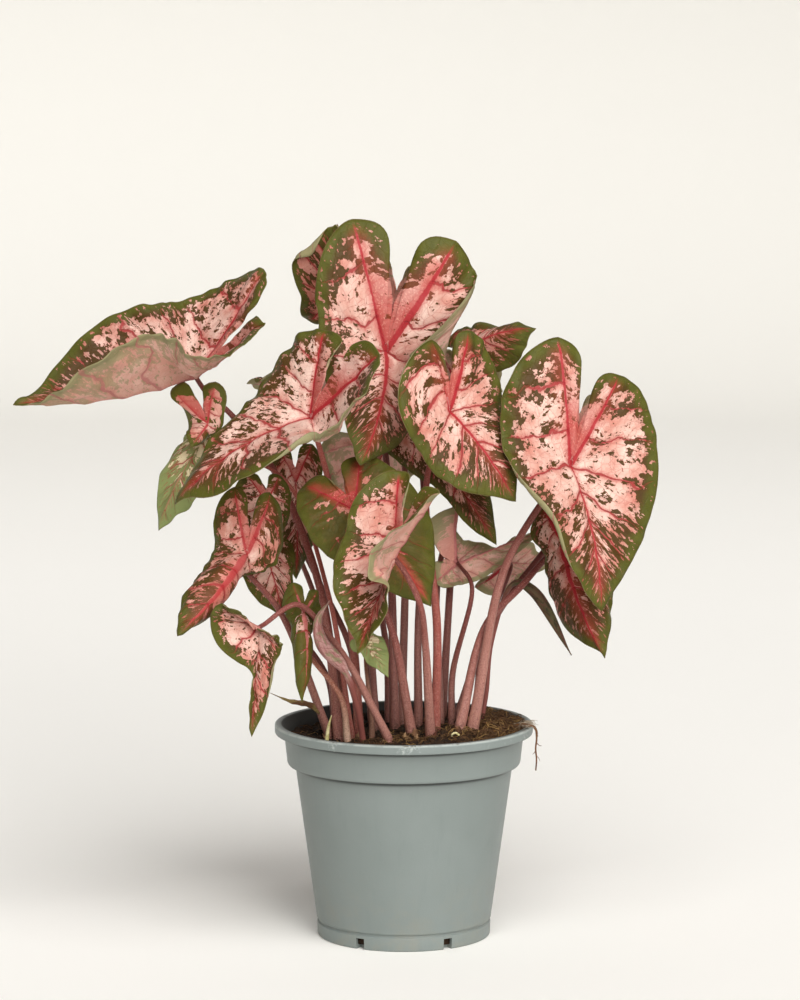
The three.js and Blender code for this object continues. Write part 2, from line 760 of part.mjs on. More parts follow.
function holeGeometry({ bottom, top, direction }, radius) {
  const ends = [
    bottom.clone().addScaledVector(direction, -2 * CLEARANCE),
    top.clone().addScaledVector(direction, STALK_CLEAR_OF_SOIL),
  ];
  return tubeAlong(ends, [direction, direction], [radius + CLEARANCE, radius + CLEARANCE]);
}

function stalkGeometry(leaf, hubNormal) {
  const radius = leaf.radius ?? STALK_FOOT_RADIUS;
  const start = straightStretch(leaf.foot, leaf.via?.[0] ?? leaf.hub, radius);
  const gap = BLADE_THICKNESS / 2 + CLEARANCE + STALK_END_TILT;
  const end = vector(leaf.hub).addScaledVector(hubNormal, -gap);
  const span = end.distanceTo(start.top);
  const lastBend = leaf.via ? vector(leaf.via.at(-1)) : start.top;
  const lastStretch = end.distanceTo(lastBend);
  const arrival = end.clone().sub(lastBend).normalize().add(hubNormal).normalize();
  const approach = end.clone().addScaledVector(arrival, -STALK_ARRIVAL * lastStretch);
  const rise = leaf.via?.map(vector) ?? [start.top.clone().addScaledVector(start.direction, span * STALK_RISE)];
  const curve = new THREE.CatmullRomCurve3([start.top, ...rise, approach, end]);
  const length = curve.getLength();
  const shares = Array.from({ length: STALK_STEPS }, (_, i) => (i + 1) / STALK_STEPS);
  shares[STALK_STEPS - 1] = 1 - STALK_END_TAPER / length;
  shares.push(1);
  const taper = (share) => radius * THREE.MathUtils.lerp(1, STALK_TOP_SHARE, share);
  const points = [start.bottom, start.top, ...shares.map((share) => curve.getPointAt(share))];
  const directions = [start.direction, start.direction, ...shares.map((share) => curve.getTangentAt(share))];
  const radii = [radius, radius, ...shares.map(taper)];
  radii[radii.length - 1] = STALK_END_RADIUS;
  return { geometry: tubeAlong(points, directions, radii), hole: holeGeometry(start, radius) };
}

function rolledGeometry(leaf) {
  const start = straightStretch(leaf.foot, leaf.path[0], leaf.stalkRadius);
  const curve = new THREE.CatmullRomCurve3([start.top, ...leaf.path.map(vector)]);
  const shares = Array.from({ length: ROLLED_STEPS }, (_, i) => (i + 1) / ROLLED_STEPS);
  const radiusAt = (share) => {
    const along = (share - leaf.rollStart) / (1 - leaf.rollStart);
    if (along <= 0) return leaf.stalkRadius;
    const swell = Math.sin(Math.PI * along ** ROLL_SKEW);
    return Math.max(leaf.rollRadius * swell, leaf.stalkRadius * (1 - along), STALK_END_RADIUS);
  };
  const points = [start.bottom, start.top, ...shares.map((share) => curve.getPointAt(share))];
  const directions = [start.direction, start.direction, ...shares.map((share) => curve.getTangentAt(share))];
  const radii = [leaf.stalkRadius, leaf.stalkRadius, ...shares.map(radiusAt)];
  return { geometry: tubeAlong(points, directions, radii), hole: holeGeometry(start, leaf.stalkRadius) };
}

// ---- assembly -----------------------------------------------------------------------------------------------

function piece(name, geometry, look) {
  const mesh = new THREE.Mesh(geometry, new THREE.MeshStandardMaterial(look));
  mesh.name = name;
  return mesh;
}

function weld(geometry) {
  const bare = new THREE.BufferGeometry();
  bare.setAttribute("position", geometry.getAttribute("position"));
  bare.setIndex(geometry.index);
  return mergeVertices(bare);
}

const plant = new THREE.Group();
const holes = [];
for (const leaf of LEAVES) {
  const blade = bladeGeometry(leaf);
  const stalk = stalkGeometry(leaf, blade.hubNormal);
  plant.add(piece(`${leaf.name}_blade`, blade.geometry, BLADE_LOOK));
  plant.add(piece(`${leaf.name}_stalk`, stalk.geometry, STALK_LOOK));
  holes.push(stalk.hole);
}
for (const leaf of ROLLED_LEAVES) {
  const rolled = rolledGeometry(leaf);
  plant.add(piece(leaf.name, rolled.geometry, leaf.look));
  holes.push(rolled.hole);
}
plant.add(piece("tuber_left", tuberGeometry(-1, 0), TUBER_LOOK));
plant.add(piece("tuber_right", tuberGeometry(1, 0), TUBER_LOOK));

const filledPot = new THREE.Group();
filledPot.add(piece("pot", potGeometry(), POT_LOOK));
filledPot.add(piece("soil", soilGeometry(holes), SOIL_LOOK));

const caladium = new THREE.Group();
caladium.add(filledPot, plant);

export default caladium;
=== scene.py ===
import math

import bmesh
import bpy
import numpy as np
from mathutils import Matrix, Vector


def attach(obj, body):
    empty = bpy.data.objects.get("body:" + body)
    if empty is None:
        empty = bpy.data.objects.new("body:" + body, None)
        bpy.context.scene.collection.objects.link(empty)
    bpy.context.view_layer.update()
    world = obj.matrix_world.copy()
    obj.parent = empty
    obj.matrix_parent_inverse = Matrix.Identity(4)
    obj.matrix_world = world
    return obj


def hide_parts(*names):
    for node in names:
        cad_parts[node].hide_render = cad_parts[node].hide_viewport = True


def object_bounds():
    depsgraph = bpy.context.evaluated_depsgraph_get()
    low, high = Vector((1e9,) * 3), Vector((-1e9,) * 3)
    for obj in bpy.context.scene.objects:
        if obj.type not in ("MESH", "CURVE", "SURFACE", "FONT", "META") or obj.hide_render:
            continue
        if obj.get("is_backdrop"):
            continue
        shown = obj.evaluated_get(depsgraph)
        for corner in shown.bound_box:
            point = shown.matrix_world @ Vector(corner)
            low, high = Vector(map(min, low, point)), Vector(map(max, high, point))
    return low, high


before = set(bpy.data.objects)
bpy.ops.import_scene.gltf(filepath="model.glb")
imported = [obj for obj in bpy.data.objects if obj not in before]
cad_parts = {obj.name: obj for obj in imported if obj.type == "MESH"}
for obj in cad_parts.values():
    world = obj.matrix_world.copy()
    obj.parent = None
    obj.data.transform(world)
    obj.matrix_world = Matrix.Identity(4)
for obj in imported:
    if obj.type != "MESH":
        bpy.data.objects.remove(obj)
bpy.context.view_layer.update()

# ---- camera -------------------------------------------------------------------------------------
# A long lens two metres in front of the pot, a little above the leaves, and tilted slightly down.
# The plant is kept clear of the frame's edges, with the pot low in it.

CAMERA_LENS = 134.6
CAMERA_PLACE = (-0.0021, -2.0, 0.476)
CAMERA_TILT = 6.8

camera = bpy.data.objects.new("camera", bpy.data.cameras.new("camera"))
camera.data.lens = CAMERA_LENS
camera.location = CAMERA_PLACE
camera.rotation_euler = (math.radians(90 - CAMERA_TILT), 0, 0)
bpy.context.scene.collection.objects.link(camera)
bpy.context.scene.camera = camera
bpy.context.scene.view_settings.view_transform = "Standard"


# ---- studio -------------------------------------------------------------------------------------
# A warm white floor that curves up into a wall all round, so that it looks the same from any side.
# A broad, far, soft light comes from high at the front right, a weaker one from behind, and a near
# square lamp stands lower on the key light's side.

MM = 0.001


def paint(code):
    """A colour code such as 7f8a8c, as linear light with full alpha."""
    channels = [int(code[i:i + 2], 16) / 255 for i in (0, 2, 4)]
    linear = [c / 12.92 if c <= 0.04045 else ((c + 0.055) / 1.055) ** 2.4 for c in channels]
    return (*linear, 1.0)


class Wire:
    """A shader socket. Arithmetic on it adds Math nodes."""

    def __init__(self, finish, socket):
        self.finish = finish
        self.socket = socket

    def maths(self, operation, *values):
        return self.finish.node("Math", {"operation": operation}, dict(enumerate(values)))

    def __add__(self, other):
        return self.maths("ADD", self, other)

    __radd__ = __add__

    def __sub__(self, other):
        return self.maths("SUBTRACT", self, other)

    def __rsub__(self, other):
        return self.maths("SUBTRACT", other, self)

    def __mul__(self, other):
        return self.maths("MULTIPLY", self, other)

    __rmul__ = __mul__

    def __truediv__(self, other):
        return self.maths("DIVIDE", self, other)

    def __rtruediv__(self, other):
        return self.maths("DIVIDE", other, self)

    def __pow__(self, other):
        return self.maths("POWER", self, other)

    def __abs__(self):
        return self.maths("ABSOLUTE", self)

    def least(self, other):
        return self.maths("MINIMUM", self, other)

    def most(self, other):
        return self.maths("MAXIMUM", self, other)

    def fold(self, length):
        """Distance to the nearest multiple of twice the length."""
        return self.maths("PINGPONG", self, length)

    def rise(self, start, end):
        """0 up to start, 1 from end on, and a smooth step between. It falls where end is below start."""
        settings = {"interpolation_type": "SMOOTHSTEP"}
        return self.finish.node("MapRange", settings, {0: self, 1: start, 2: end})


class Finish:
    """A material being made: its Principled shader, and the nodes that feed it."""

    def __init__(self, name, roughness=0.5, specular=0.5):
        self.material = bpy.data.materials.new(name)
        self.material.use_nodes = True
        self.tree = self.material.node_tree
        self.shader = self.tree.nodes["Principled BSDF"]
        self.shader.inputs["Roughness"].default_value = roughness
        self.shader.inputs["Specular IOR Level"].default_value = specular

    def node(self, kind, settings=None, inputs=None, output=0):
        """A new node of a type, with its settings and then its sockets' values or links."""
        node = self.tree.nodes.new("ShaderNode" + kind)
        for key, value in (settings or {}).items():
            setattr(node, key, value)
        for key, value in (inputs or {}).items():
            self.feed(node.inputs[key], value)
        return Wire(self, node.outputs[output])

    def feed(self, socket, value):
        if isinstance(value, Wire):
            self.tree.links.new(value.socket, socket)
        else:
            socket.default_value = value

    def held(self, name):
        """The vectors kept on the mesh under this name."""
        return self.node("Attribute", {"attribute_name": name}, output="Vector")

    def parts(self, vector):
        """The three numbers of a vector."""
        node = self.node("SeparateXYZ", inputs={0: vector}).socket.node
        return [Wire(self, socket) for socket in node.outputs]

    def noise(self, vector, scale, detail=2.0, roughness=0.5):
        return self.node("TexNoise", None, {
            "Vector": vector, "Scale": scale, "Detail": detail, "Roughness": roughness})

    def cells(self, vector, scale, feature="F1"):
        return self.node("TexVoronoi", {"feature": feature}, {"Vector": vector, "Scale": scale}, "Distance")

    def stretched(self, vector, factors):
        return self.node("VectorMath", {"operation": "MULTIPLY"}, {0: vector, 1: factors})

    def mix(self, first, second, share):
        return self.node("Mix", {"data_type": "RGBA"}, {0: share, 6: first, 7: second}, 2)

    def finish(self, colour, roughness=None, height=None, depth=0.0):
        """Joins the colour, the roughness and a relief of a depth in metres to the shader."""
        self.feed(self.shader.inputs["Base Color"], colour)
        if roughness is not None:
            self.feed(self.shader.inputs["Roughness"], roughness)
        if height is not None:
            bump = self.node("Bump", None, {"Height": height, "Distance": depth}, "Normal")
            self.feed(self.shader.inputs["Normal"], bump)
        return self.material


def new_piece(name, points, faces, material, held=None):
    """A smooth mesh object from points in metres. held gives the vectors kept on its points."""
    mesh = bpy.data.meshes.new(name)
    mesh.from_pydata(np.asarray(points).tolist(), [], [tuple(map(int, face)) for face in faces])
    mesh.polygons.foreach_set("use_smooth", [True] * len(mesh.polygons))
    for key, vectors in (held or {}).items():
        layer = mesh.attributes.new(key, "FLOAT_VECTOR", "POINT")
        layer.data.foreach_set("vector", np.asarray(vectors, np.float32).ravel())
    mesh.materials.append(material)
    mesh.validate()
    piece = bpy.data.objects.new(name, mesh)
    bpy.context.scene.collection.objects.link(piece)
    return piece


def turned(profile, sides):
    """Points and faces of [radius, height] pairs turned about Z. A pair on the axis is one point."""
    angles = np.arange(sides) * 2 * math.pi / sides
    points, rows = [], []
    for radius, height in profile:
        if radius == 0:
            rows.append([len(points)] * sides)
            points.append((0, 0, height))
        else:
            rows.append(list(range(len(points), len(points) + sides)))
            points.extend((radius * math.cos(a), radius * math.sin(a), height) for a in angles)
    faces = []
    for low, high in zip(rows, rows[1:]):
        for i in range(sides):
            j = (i + 1) % sides
            face = [low[i], low[j], high[j], high[i]]
            faces.append(sorted(set(face), key=face.index))
    return np.array(points), faces


STUDIO_FLOOR = 2.9
STUDIO_BEND = 0.8
STUDIO_TOP = 1.15
STUDIO_SIDES = 96
BRIGHT_TO, DULL_FROM = 1.2, 3.5

studio = Finish("studio_paper", roughness=0.9, specular=0.2)
place = studio.node("NewGeometry", output="Position")
x, y, _ = studio.parts(place)
# Painted light: the paper is paler near the middle and duller out towards the wall.
painted_light_falloff = ((x * x + y * y) ** 0.5).rise(BRIGHT_TO, DULL_FROM)
studio_colour = studio.mix(paint("f8f6f2"), paint("dbd9d4"), painted_light_falloff)
studio_colour = studio.mix(studio_colour, paint("e6e3dd"), studio.noise(place, 1.6) * 0.15)
bend = [(STUDIO_FLOOR + STUDIO_BEND * math.sin(a), STUDIO_BEND * (1 - math.cos(a)))
        for a in np.linspace(0, math.pi / 2, 12)]
backdrop_profile = [(0, 0), *bend, (STUDIO_FLOOR + STUDIO_BEND, STUDIO_TOP)]
backdrop = new_piece("backdrop", *turned(backdrop_profile, STUDIO_SIDES), studio.finish(studio_colour))
backdrop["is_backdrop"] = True

world = bpy.data.worlds.new("studio_light")
world.use_nodes = True
world.node_tree.nodes["Background"].inputs["Color"].default_value = paint("fffcf6")
world.node_tree.nodes["Background"].inputs["Strength"].default_value = 0.08
bpy.context.scene.world = world


def add_lamp(name, kind, energy, colour, above, turn):
    """A lamp that shines down from an angle above the floor, turned about Z from the front."""
    lamp = bpy.data.objects.new(name, bpy.data.lights.new(name, kind))
    lamp.data.energy = energy
    lamp.data.color = paint(colour)[:3]
    lamp.rotation_euler = (math.radians(90 - above), 0, math.radians(turn))
    bpy.context.scene.collection.objects.link(lamp)
    return lamp


add_lamp("key_light", "SUN", 3.2, "fffefc", 45, 18).data.angle = math.radians(60)
add_lamp("back_light", "SUN", 0.6, "fffefc", 35, 190).data.angle = math.radians(90)
side_light = add_lamp("side_light", "AREA", 15, "fffefb", 20, 18)
side_light.data.size = 0.7
side_light.location = (0.66, -2.05, 0.95)


# ---- pot ----------------------------------------------------------------------------------------
# A 14 cm nursery pot, injection moulded in one piece of grey plastic: a thick lip, a band under it,
# a tapering body and a foot with six drain notches. The satin skin is scuffed and soil-stained at the
# brim. Shade is painted dark under the lip, under the band and on the inside wall, and a painted
# highlight runs along the top edge of the lip.

POT_HEIGHT = 116
LIP_RADIUS = 70
LIP_UNDERSIDE = 111
BAND_UNDERSIDE = 94
BODY_RADIUS = 59
FOOT_RADIUS = 47
FOOT_HEIGHT = 7.3
# The inside, from the floor up: radius and height where the wall starts, steps out and goes on.
FLOOR_INSIDE = (44.9, 2)
WALL_INSIDE = (44.9, 7.3)
STEP_INSIDE = (57.6, 95.4)
BAND_INSIDE = (61.6, 97.4)
LIP_INSIDE = (63.6, 111)
BRIM_INSIDE = (66, 116)
POT_SIDES = 192
DRAIN_COUNT = 6
DRAIN_SIZE = (5, 9, 12)  # along the foot, outwards and up
SHARP_EDGE = 18


def rounded(corners, steps=4):
    """(radius, height, rounding) corners of a profile as a line, with a short curve at each corner."""
    line = []
    for i, (radius, height, rounding) in enumerate(corners):
        here = np.array([radius, height], float)
        if rounding == 0:
            line.append(here)
            continue
        before = np.array(corners[i - 1][:2], float) - here
        after = np.array(corners[i + 1][:2], float) - here
        start = here + before * min(rounding / np.linalg.norm(before), 0.5)
        end = here + after * min(rounding / np.linalg.norm(after), 0.5)
        for t in np.linspace(0, 1, steps):
            line.append((1 - t) ** 2 * start + 2 * t * (1 - t) * here + t * t * end)
    return [(point[0] * MM, point[1] * MM) for point in line]


pot_profile = rounded([
    (0, 1.2, 0), (39, 1.2, 0.5), (40, 0, 0.5), (FOOT_RADIUS, 0, 1.0), (FOOT_RADIUS + 0.2, FOOT_HEIGHT, 0.4),
    (46.3, 7.7, 0.3), (46.3, 8.7, 0.3), (47.4, 9.4, 0.4), (BODY_RADIUS, BAND_UNDERSIDE - 0.4, 0.5),
    (BODY_RADIUS + 0.3, BAND_UNDERSIDE, 0.2), (62.7, BAND_UNDERSIDE + 0.1, 0.4), (63.3, 95.4, 0.4),
    (65, LIP_UNDERSIDE, 0.2), (69.7, LIP_UNDERSIDE, 0.3), (LIP_RADIUS, LIP_UNDERSIDE + 0.6, 0.3),
    (LIP_RADIUS, POT_HEIGHT, 0.9), (*BRIM_INSIDE, 1.2), (*LIP_INSIDE, 1.0), (*BAND_INSIDE, 1.0),
    (*STEP_INSIDE, 1.0), (*WALL_INSIDE, 1.0), (*FLOOR_INSIDE, 0.8), (0, FLOOR_INSIDE[1], 0),
])


def near_to(distance, level, start, end):
    """0 to 1 between two offsets, in millimetres, from a height or a radius of the pot."""
    return distance.rise((level + start) * MM, (level + end) * MM)


pot_skin = Finish("satin_grey_plastic", specular=0.3)
place = pot_skin.node("NewGeometry", output="Position")
x, y, z = pot_skin.parts(place)
grain = pot_skin.noise(place, 1900, 2)
drift = pot_skin.noise(place, 22, 4)
streaks = pot_skin.noise(pot_skin.stretched(place, (190, 190, 22)), 1, 4, 0.6)
smudges = pot_skin.noise(place, 75, 6, 0.65)
grit = pot_skin.noise(place, 520, 4, 0.6)
colour = pot_skin.mix(paint("767f7c"), paint("858d8b"), drift)
colour = pot_skin.mix(colour, paint("737c7b"), streaks.rise(0.52, 0.75) * 0.2)
scuffed = smudges.rise(0.56, 0.7) * near_to(z, LIP_UNDERSIDE, -1.5, 0.2)
colour = pot_skin.mix(colour, paint("c3c9c5"), scuffed * grit.rise(0.42, 0.6) * 0.75)
dusty = (0.03 - z).rise(-0.02, 0.03) * smudges.rise(0.4, 0.7)
colour = pot_skin.mix(colour, paint("8e8a7c"), dusty * 0.35)
facing_x, facing_y, _ = pot_skin.parts(pot_skin.node("NewGeometry", output="Normal"))
round_about = (x * x + y * y) ** 0.5
# Painted shade: dark lines under the overhang of the lip and under the band.
painted_shade_under_lip = near_to(z, LIP_UNDERSIDE, -2.6, -1) * near_to(round_about, LIP_RADIUS, -1, -4)
painted_shade_under_band = near_to(z, BAND_UNDERSIDE, -2.6, -0.8) * near_to(z, BAND_UNDERSIDE, 0.6, 0.1)
colour = pot_skin.mix(colour, paint("2c2e2d"), (painted_shade_under_lip + painted_shade_under_band).least(1) * 0.8)
# Painted shade: the inside wall, whose normals face the pot's axis, is darkened, and it is rougher.
painted_inner_shade = (x * facing_x + y * facing_y).rise(-0.005, -0.03)
colour = pot_skin.mix(colour, paint("3c3d3b"), painted_inner_shade)
# Painted highlight: a pale line along the top edge of the lip, broken up by the smudges.
lip_painted_highlight = near_to(z, POT_HEIGHT, -1.4, -0.4) * near_to(round_about, LIP_RADIUS, -1.4, -0.4)
colour = pot_skin.mix(colour, paint("c2c9c5"), lip_painted_highlight * smudges.rise(0.25, 0.5) * 0.55)
soiled = near_to(z, POT_HEIGHT, -1, -0.2) * smudges.rise(0.5, 0.66) * grit.rise(0.4, 0.55)
colour = pot_skin.mix(colour, paint("4a4238"), soiled * 0.8)
rough = 0.36 + smudges * 0.16 + scuffed * 0.2 + painted_inner_shade * 0.3
pot_height = grain * 0.25 + smudges.rise(0.5, 0.9) * 0.4 + grit * 0.2
pot_finish = pot_skin.finish(colour, rough, pot_height, 0.0002)
pot = new_piece("nursery_pot", *turned(pot_profile, POT_SIDES), pot_finish)

cutter = bpy.data.meshes.new("drains")
corners, sides = [], []
box = [(a, b, c) for a in (-0.5, 0.5) for b in (-0.5, 0.5) for c in (-0.5, 0.5)]
for i in range(DRAIN_COUNT):
    turn = (i + 0.5) * 2 * math.pi / DRAIN_COUNT
    first = len(corners)
    for a, b, c in box:
        across, out, up = (share * size * MM for share, size in zip((a, b, c), DRAIN_SIZE))
        out += FOOT_RADIUS * MM
        corners.append((across * math.cos(turn) - out * math.sin(turn),
                        across * math.sin(turn) + out * math.cos(turn), up))
    for face in ((0, 1, 3, 2), (4, 6, 7, 5), (0, 4, 5, 1), (2, 3, 7, 6), (0, 2, 6, 4), (1, 5, 7, 3)):
        sides.append([first + corner for corner in face])
cutter.from_pydata(corners, [], sides)
drains = bpy.data.objects.new("drains", cutter)
bpy.context.scene.collection.objects.link(drains)
notching = pot.modifiers.new("notches", "BOOLEAN")
notching.operation = "DIFFERENCE"
notching.object = drains
notching.solver = "EXACT"
notched = bpy.data.meshes.new_from_object(pot.evaluated_get(bpy.context.evaluated_depsgraph_get()))
pot.modifiers.clear()
pot.data = notched
bpy.data.objects.remove(drains)
pot.data.set_sharp_from_angle(angle=math.radians(SHARP_EDGE))
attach(pot, "root")
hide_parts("pot")


# ---- soil ---------------------------------------------------------------------------------------
# Loose dark peat, poured in and settled: lowest at the left, and heaped up to the brim at the right.
# It fills the pot, is lumpy on top, and thins towards the wall, which stays a hair's breadth clear.

SOIL_LEVEL = 108
SOIL_HEAP = 7.4
SOIL_RADIUS = 63
SOIL_GAP = 0.3
SOIL_RINGS = 84
SOIL_SIDES = 260
rng = np.random.default_rng(11)


def smooth_step(x):
    """0 up to 0, 1 from 1 on, and smooth between."""
    x = np.clip(x, 0, 1)
    return x * x * (3 - 2 * x)


def wavelets(count, shortest, longest, seed):
    """Directions, lengths and starts of plane waves whose sum is an even, lumpy field."""
    draw = np.random.default_rng(seed)
    lengths = np.exp(draw.uniform(math.log(shortest), math.log(longest), count))
    return draw.uniform(0, 2 * math.pi, count), lengths, draw.uniform(0, 2 * math.pi, count)


def lumps(x, y, waves):
    """Height of the lumpy field at x, y, mostly between -1 and 1."""
    turns, lengths, starts = waves
    total = 0
    for turn, length, start in zip(turns, lengths, starts):
        along = x * math.cos(turn) + y * math.sin(turn)
        total = total + length * np.sin(along * 2 * math.pi / length + start)
    return total / lengths.sum() * math.sqrt(len(lengths))


COARSE_LUMPS = wavelets(14, 9, 26, 3)
COARSE_HEIGHT = 1.0
FINE_LUMPS = wavelets(22, 2.2, 6, 4)
FINE_HEIGHT = 0.45


def soil_height(x, y):
    """Height of the soil, all in millimetres."""
    heap = SOIL_HEAP * smooth_step(0.5 + np.asarray(x) / (2 * BODY_RADIUS))
    coarse = COARSE_HEIGHT * lumps(x, y, COARSE_LUMPS)
    return SOIL_LEVEL + heap + coarse + FINE_HEIGHT * lumps(x, y, FINE_LUMPS)


soil_angles = np.arange(SOIL_SIDES) * 2 * math.pi / SOIL_SIDES
edge_heights = soil_height(SOIL_RADIUS * np.cos(soil_angles), SOIL_RADIUS * np.sin(soil_angles))
inside_radii, inside_heights = zip(BAND_INSIDE, LIP_INSIDE, BRIM_INSIDE)
edge_radii = np.interp(edge_heights, inside_heights, inside_radii) - SOIL_GAP
soil_points = [(0, 0, FLOOR_INSIDE[1] + SOIL_GAP)]
soil_wall = (FLOOR_INSIDE, WALL_INSIDE, STEP_INSIDE, BAND_INSIDE)
for radius, height in soil_wall:
    radius, height = radius - SOIL_GAP, height + SOIL_GAP
    soil_points += [(radius * math.cos(a), radius * math.sin(a), height) for a in soil_angles]
for ring in range(SOIL_RINGS):
    share = 1 - ring / SOIL_RINGS
    xs, ys = edge_radii * share * np.cos(soil_angles), edge_radii * share * np.sin(soil_angles)
    soil_points += list(zip(xs, ys, soil_height(xs, ys)))
soil_points.append((0, 0, float(soil_height(0, 0))))
soil_points = np.array(soil_points)
soil_faces = []
last_ring = len(soil_wall) + SOIL_RINGS - 1
for ring in range(-1, last_ring + 1):
    for i in range(SOIL_SIDES):
        j = (i + 1) % SOIL_SIDES
        low, high = 1 + ring * SOIL_SIDES, 1 + (ring + 1) * SOIL_SIDES
        if ring == -1:
            soil_faces.append((0, high + j, high + i))
        elif ring == last_ring:
            soil_faces.append((low + i, low + j, high))
        else:
            soil_faces.append((low + i, low + j, high + j, high + i))

peat = Finish("moist_peat", specular=0.25)
place = peat.node("NewGeometry", output="Position")
clods = peat.noise(place, 160, 6, 0.7)
shreds = peat.noise(peat.stretched(place, (1, 0.45, 1)), 1500, 4, 0.7)
specks = peat.cells(place, 700)
colour = peat.mix(paint("1a120c"), paint("3f2c1c"), clods.rise(0.35, 0.68))
colour = peat.mix(colour, paint("5d4429"), shreds.rise(0.56, 0.72) * 0.7)
heaped = peat.parts(place)[0].rise(0.018, 0.058)
colour = peat.mix(colour, paint("6f4f2b"), heaped * shreds.rise(0.38, 0.6) * 0.8)
colour = peat.mix(colour, paint("a08358"), specks.rise(0.2, 0.1) * shreds.rise(0.5, 0.6) * 0.6)
peat_finish = peat.finish(colour, 0.8 + clods * 0.2, clods * 0.7 + shreds * 0.5, 0.0016)
soil = new_piece("potting_soil", soil_points * MM, soil_faces, peat_finish)
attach(soil, "root")
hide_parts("soil")


# ---- soil fibres and crumbs ---------------------------------------------------------------------
# Coco and peat fibres that lie curled on the soil, thickest on the heap at the right and between the
# stalks, with crumbs of peat among them. They lie loose, pressed a little into the surface.

def tube(path, radii, sides):
    """Rings of points round a path. A radius is one number, or one for each side."""
    path = np.asarray(path, float)
    steps = np.gradient(path, axis=0)
    steps /= np.linalg.norm(steps, axis=1)[:, None]
    across = np.array([1.0, 0.0, 0.0])
    if abs(steps[0][0]) > 0.9:
        across = np.array([0.0, 1.0, 0.0])
    angles = np.arange(sides) * 2 * math.pi / sides
    rings = []
    for i, (point, step) in enumerate(zip(path, steps)):
        across = across - step * across.dot(step)
        across /= np.linalg.norm(across)
        second = np.cross(step, across)
        radius = np.broadcast_to(radii[i], (sides,))[:, None]
        rings.append(point + radius * (np.cos(angles)[:, None] * across + np.sin(angles)[:, None] * second))
    return np.array(rings)


def tube_faces(rings, sides, first=0):
    """Faces of a closed tube whose points start at first: its rings, then the middle of each end."""
    faces = []
    last = first + (rings - 1) * sides
    for i in range(sides):
        j = (i + 1) % sides
        for ring in range(rings - 1):
            low = first + ring * sides
            faces.append((low + i, low + j, low + sides + j, low + sides + i))
        faces.append((first + rings * sides, first + j, first + i))
        faces.append((first + rings * sides + 1, last + i, last + j))
    return faces


def closed_tube(path, radii, sides, first=0):
    """Points and faces of a closed tube round a path. first is the number of its first point."""
    rings = tube(path, radii, sides)
    points = [*rings.reshape(-1, 3), rings[0].mean(0), rings[-1].mean(0)]
    return points, tube_faces(len(rings), sides, first)


SCATTERED_FIBRES = 1500
HEAP_FIBRES = 620
FRONT_FIBRES = 160
FIBRE_SHAPE = np.array([0.5, 0.9, 1, 1, 0.9, 0.7, 0.3])
FIBRE_STEPS = len(FIBRE_SHAPE)
FIBRE_SIDES = 4
FIBRE_LIMIT = 66
CRUMBS = 900
fibre_points, fibre_faces, fibre_tints = [], [], []


def lay_fibre(x, y, length, width, curl, tint, lift):
    """A fibre from x, y that wanders over the soil, all in millimetres. lift raises its middle."""
    heading = rng.uniform(0, 2 * math.pi)
    bend = rng.normal(0, curl)
    path = []
    for step in range(FIBRE_STEPS):
        share = step / (FIBRE_STEPS - 1)
        height = float(soil_height(x, y)) + lift * math.sin(math.pi * share) + width * (share - 0.3)
        path.append((x, y, height))
        heading += bend + rng.normal(0, 0.25)
        x += length / FIBRE_STEPS * math.cos(heading)
        y += length / FIBRE_STEPS * math.sin(heading)
    if math.hypot(x, y) < FIBRE_LIMIT:
        points, faces = closed_tube(path, width * FIBRE_SHAPE, FIBRE_SIDES, len(fibre_points))
        fibre_points.extend(points)
        fibre_faces.extend(faces)
        fibre_tints.extend([(tint, rng.uniform(0, 1), 0)] * len(points))


for _ in range(SCATTERED_FIBRES):
    angle, spread = rng.uniform(0, 2 * math.pi), (SOIL_RADIUS - 1) * math.sqrt(rng.uniform(0, 1))
    fx, fy = spread * math.cos(angle), spread * math.sin(angle)
    heaped = smooth_step(fx / 60)
    if rng.uniform() < 0.35 + 0.65 * heaped:
        lay_fibre(fx, fy, rng.uniform(4, 13), rng.uniform(0.1, 0.26), 0.35,
                  rng.uniform(0, 1) ** (1.6 - heaped), rng.uniform(0, 1.2 + 1.6 * heaped))
for _ in range(HEAP_FIBRES):
    fx, fy = rng.normal(48, 11), rng.normal(-12, 20)
    if math.hypot(fx, fy) < SOIL_RADIUS:
        lay_fibre(fx, fy, rng.uniform(6, 18), rng.uniform(0.12, 0.3), 0.5,
                  rng.uniform(0.5, 1), rng.uniform(0.4, 3.2))
for _ in range(FRONT_FIBRES):
    lay_fibre(rng.normal(-6, 12), rng.normal(-33, 7), rng.uniform(6, 16), rng.uniform(0.12, 0.28), 0.6,
              rng.uniform(0.45, 1), rng.uniform(0.3, 2.2))

straw = Finish("peat_fibre", roughness=0.75, specular=0.3)
tone, variety, _ = straw.parts(straw.held("tint"))
place = straw.node("NewGeometry", output="Position")
colour = straw.mix(paint("251910"), paint("5c4026"), tone.rise(0.1, 0.9))
colour = straw.mix(colour, paint("a17e4c"), (tone * variety).rise(0.3, 0.95))
colour = straw.mix(colour, paint("4a3018"), straw.noise(place, 900, 3).rise(0.5, 0.7) * 0.6)
fibres = new_piece("soil_fibres", np.array(fibre_points) * MM, fibre_faces, straw.finish(colour),
                   {"tint": fibre_tints})
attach(fibres, "root")

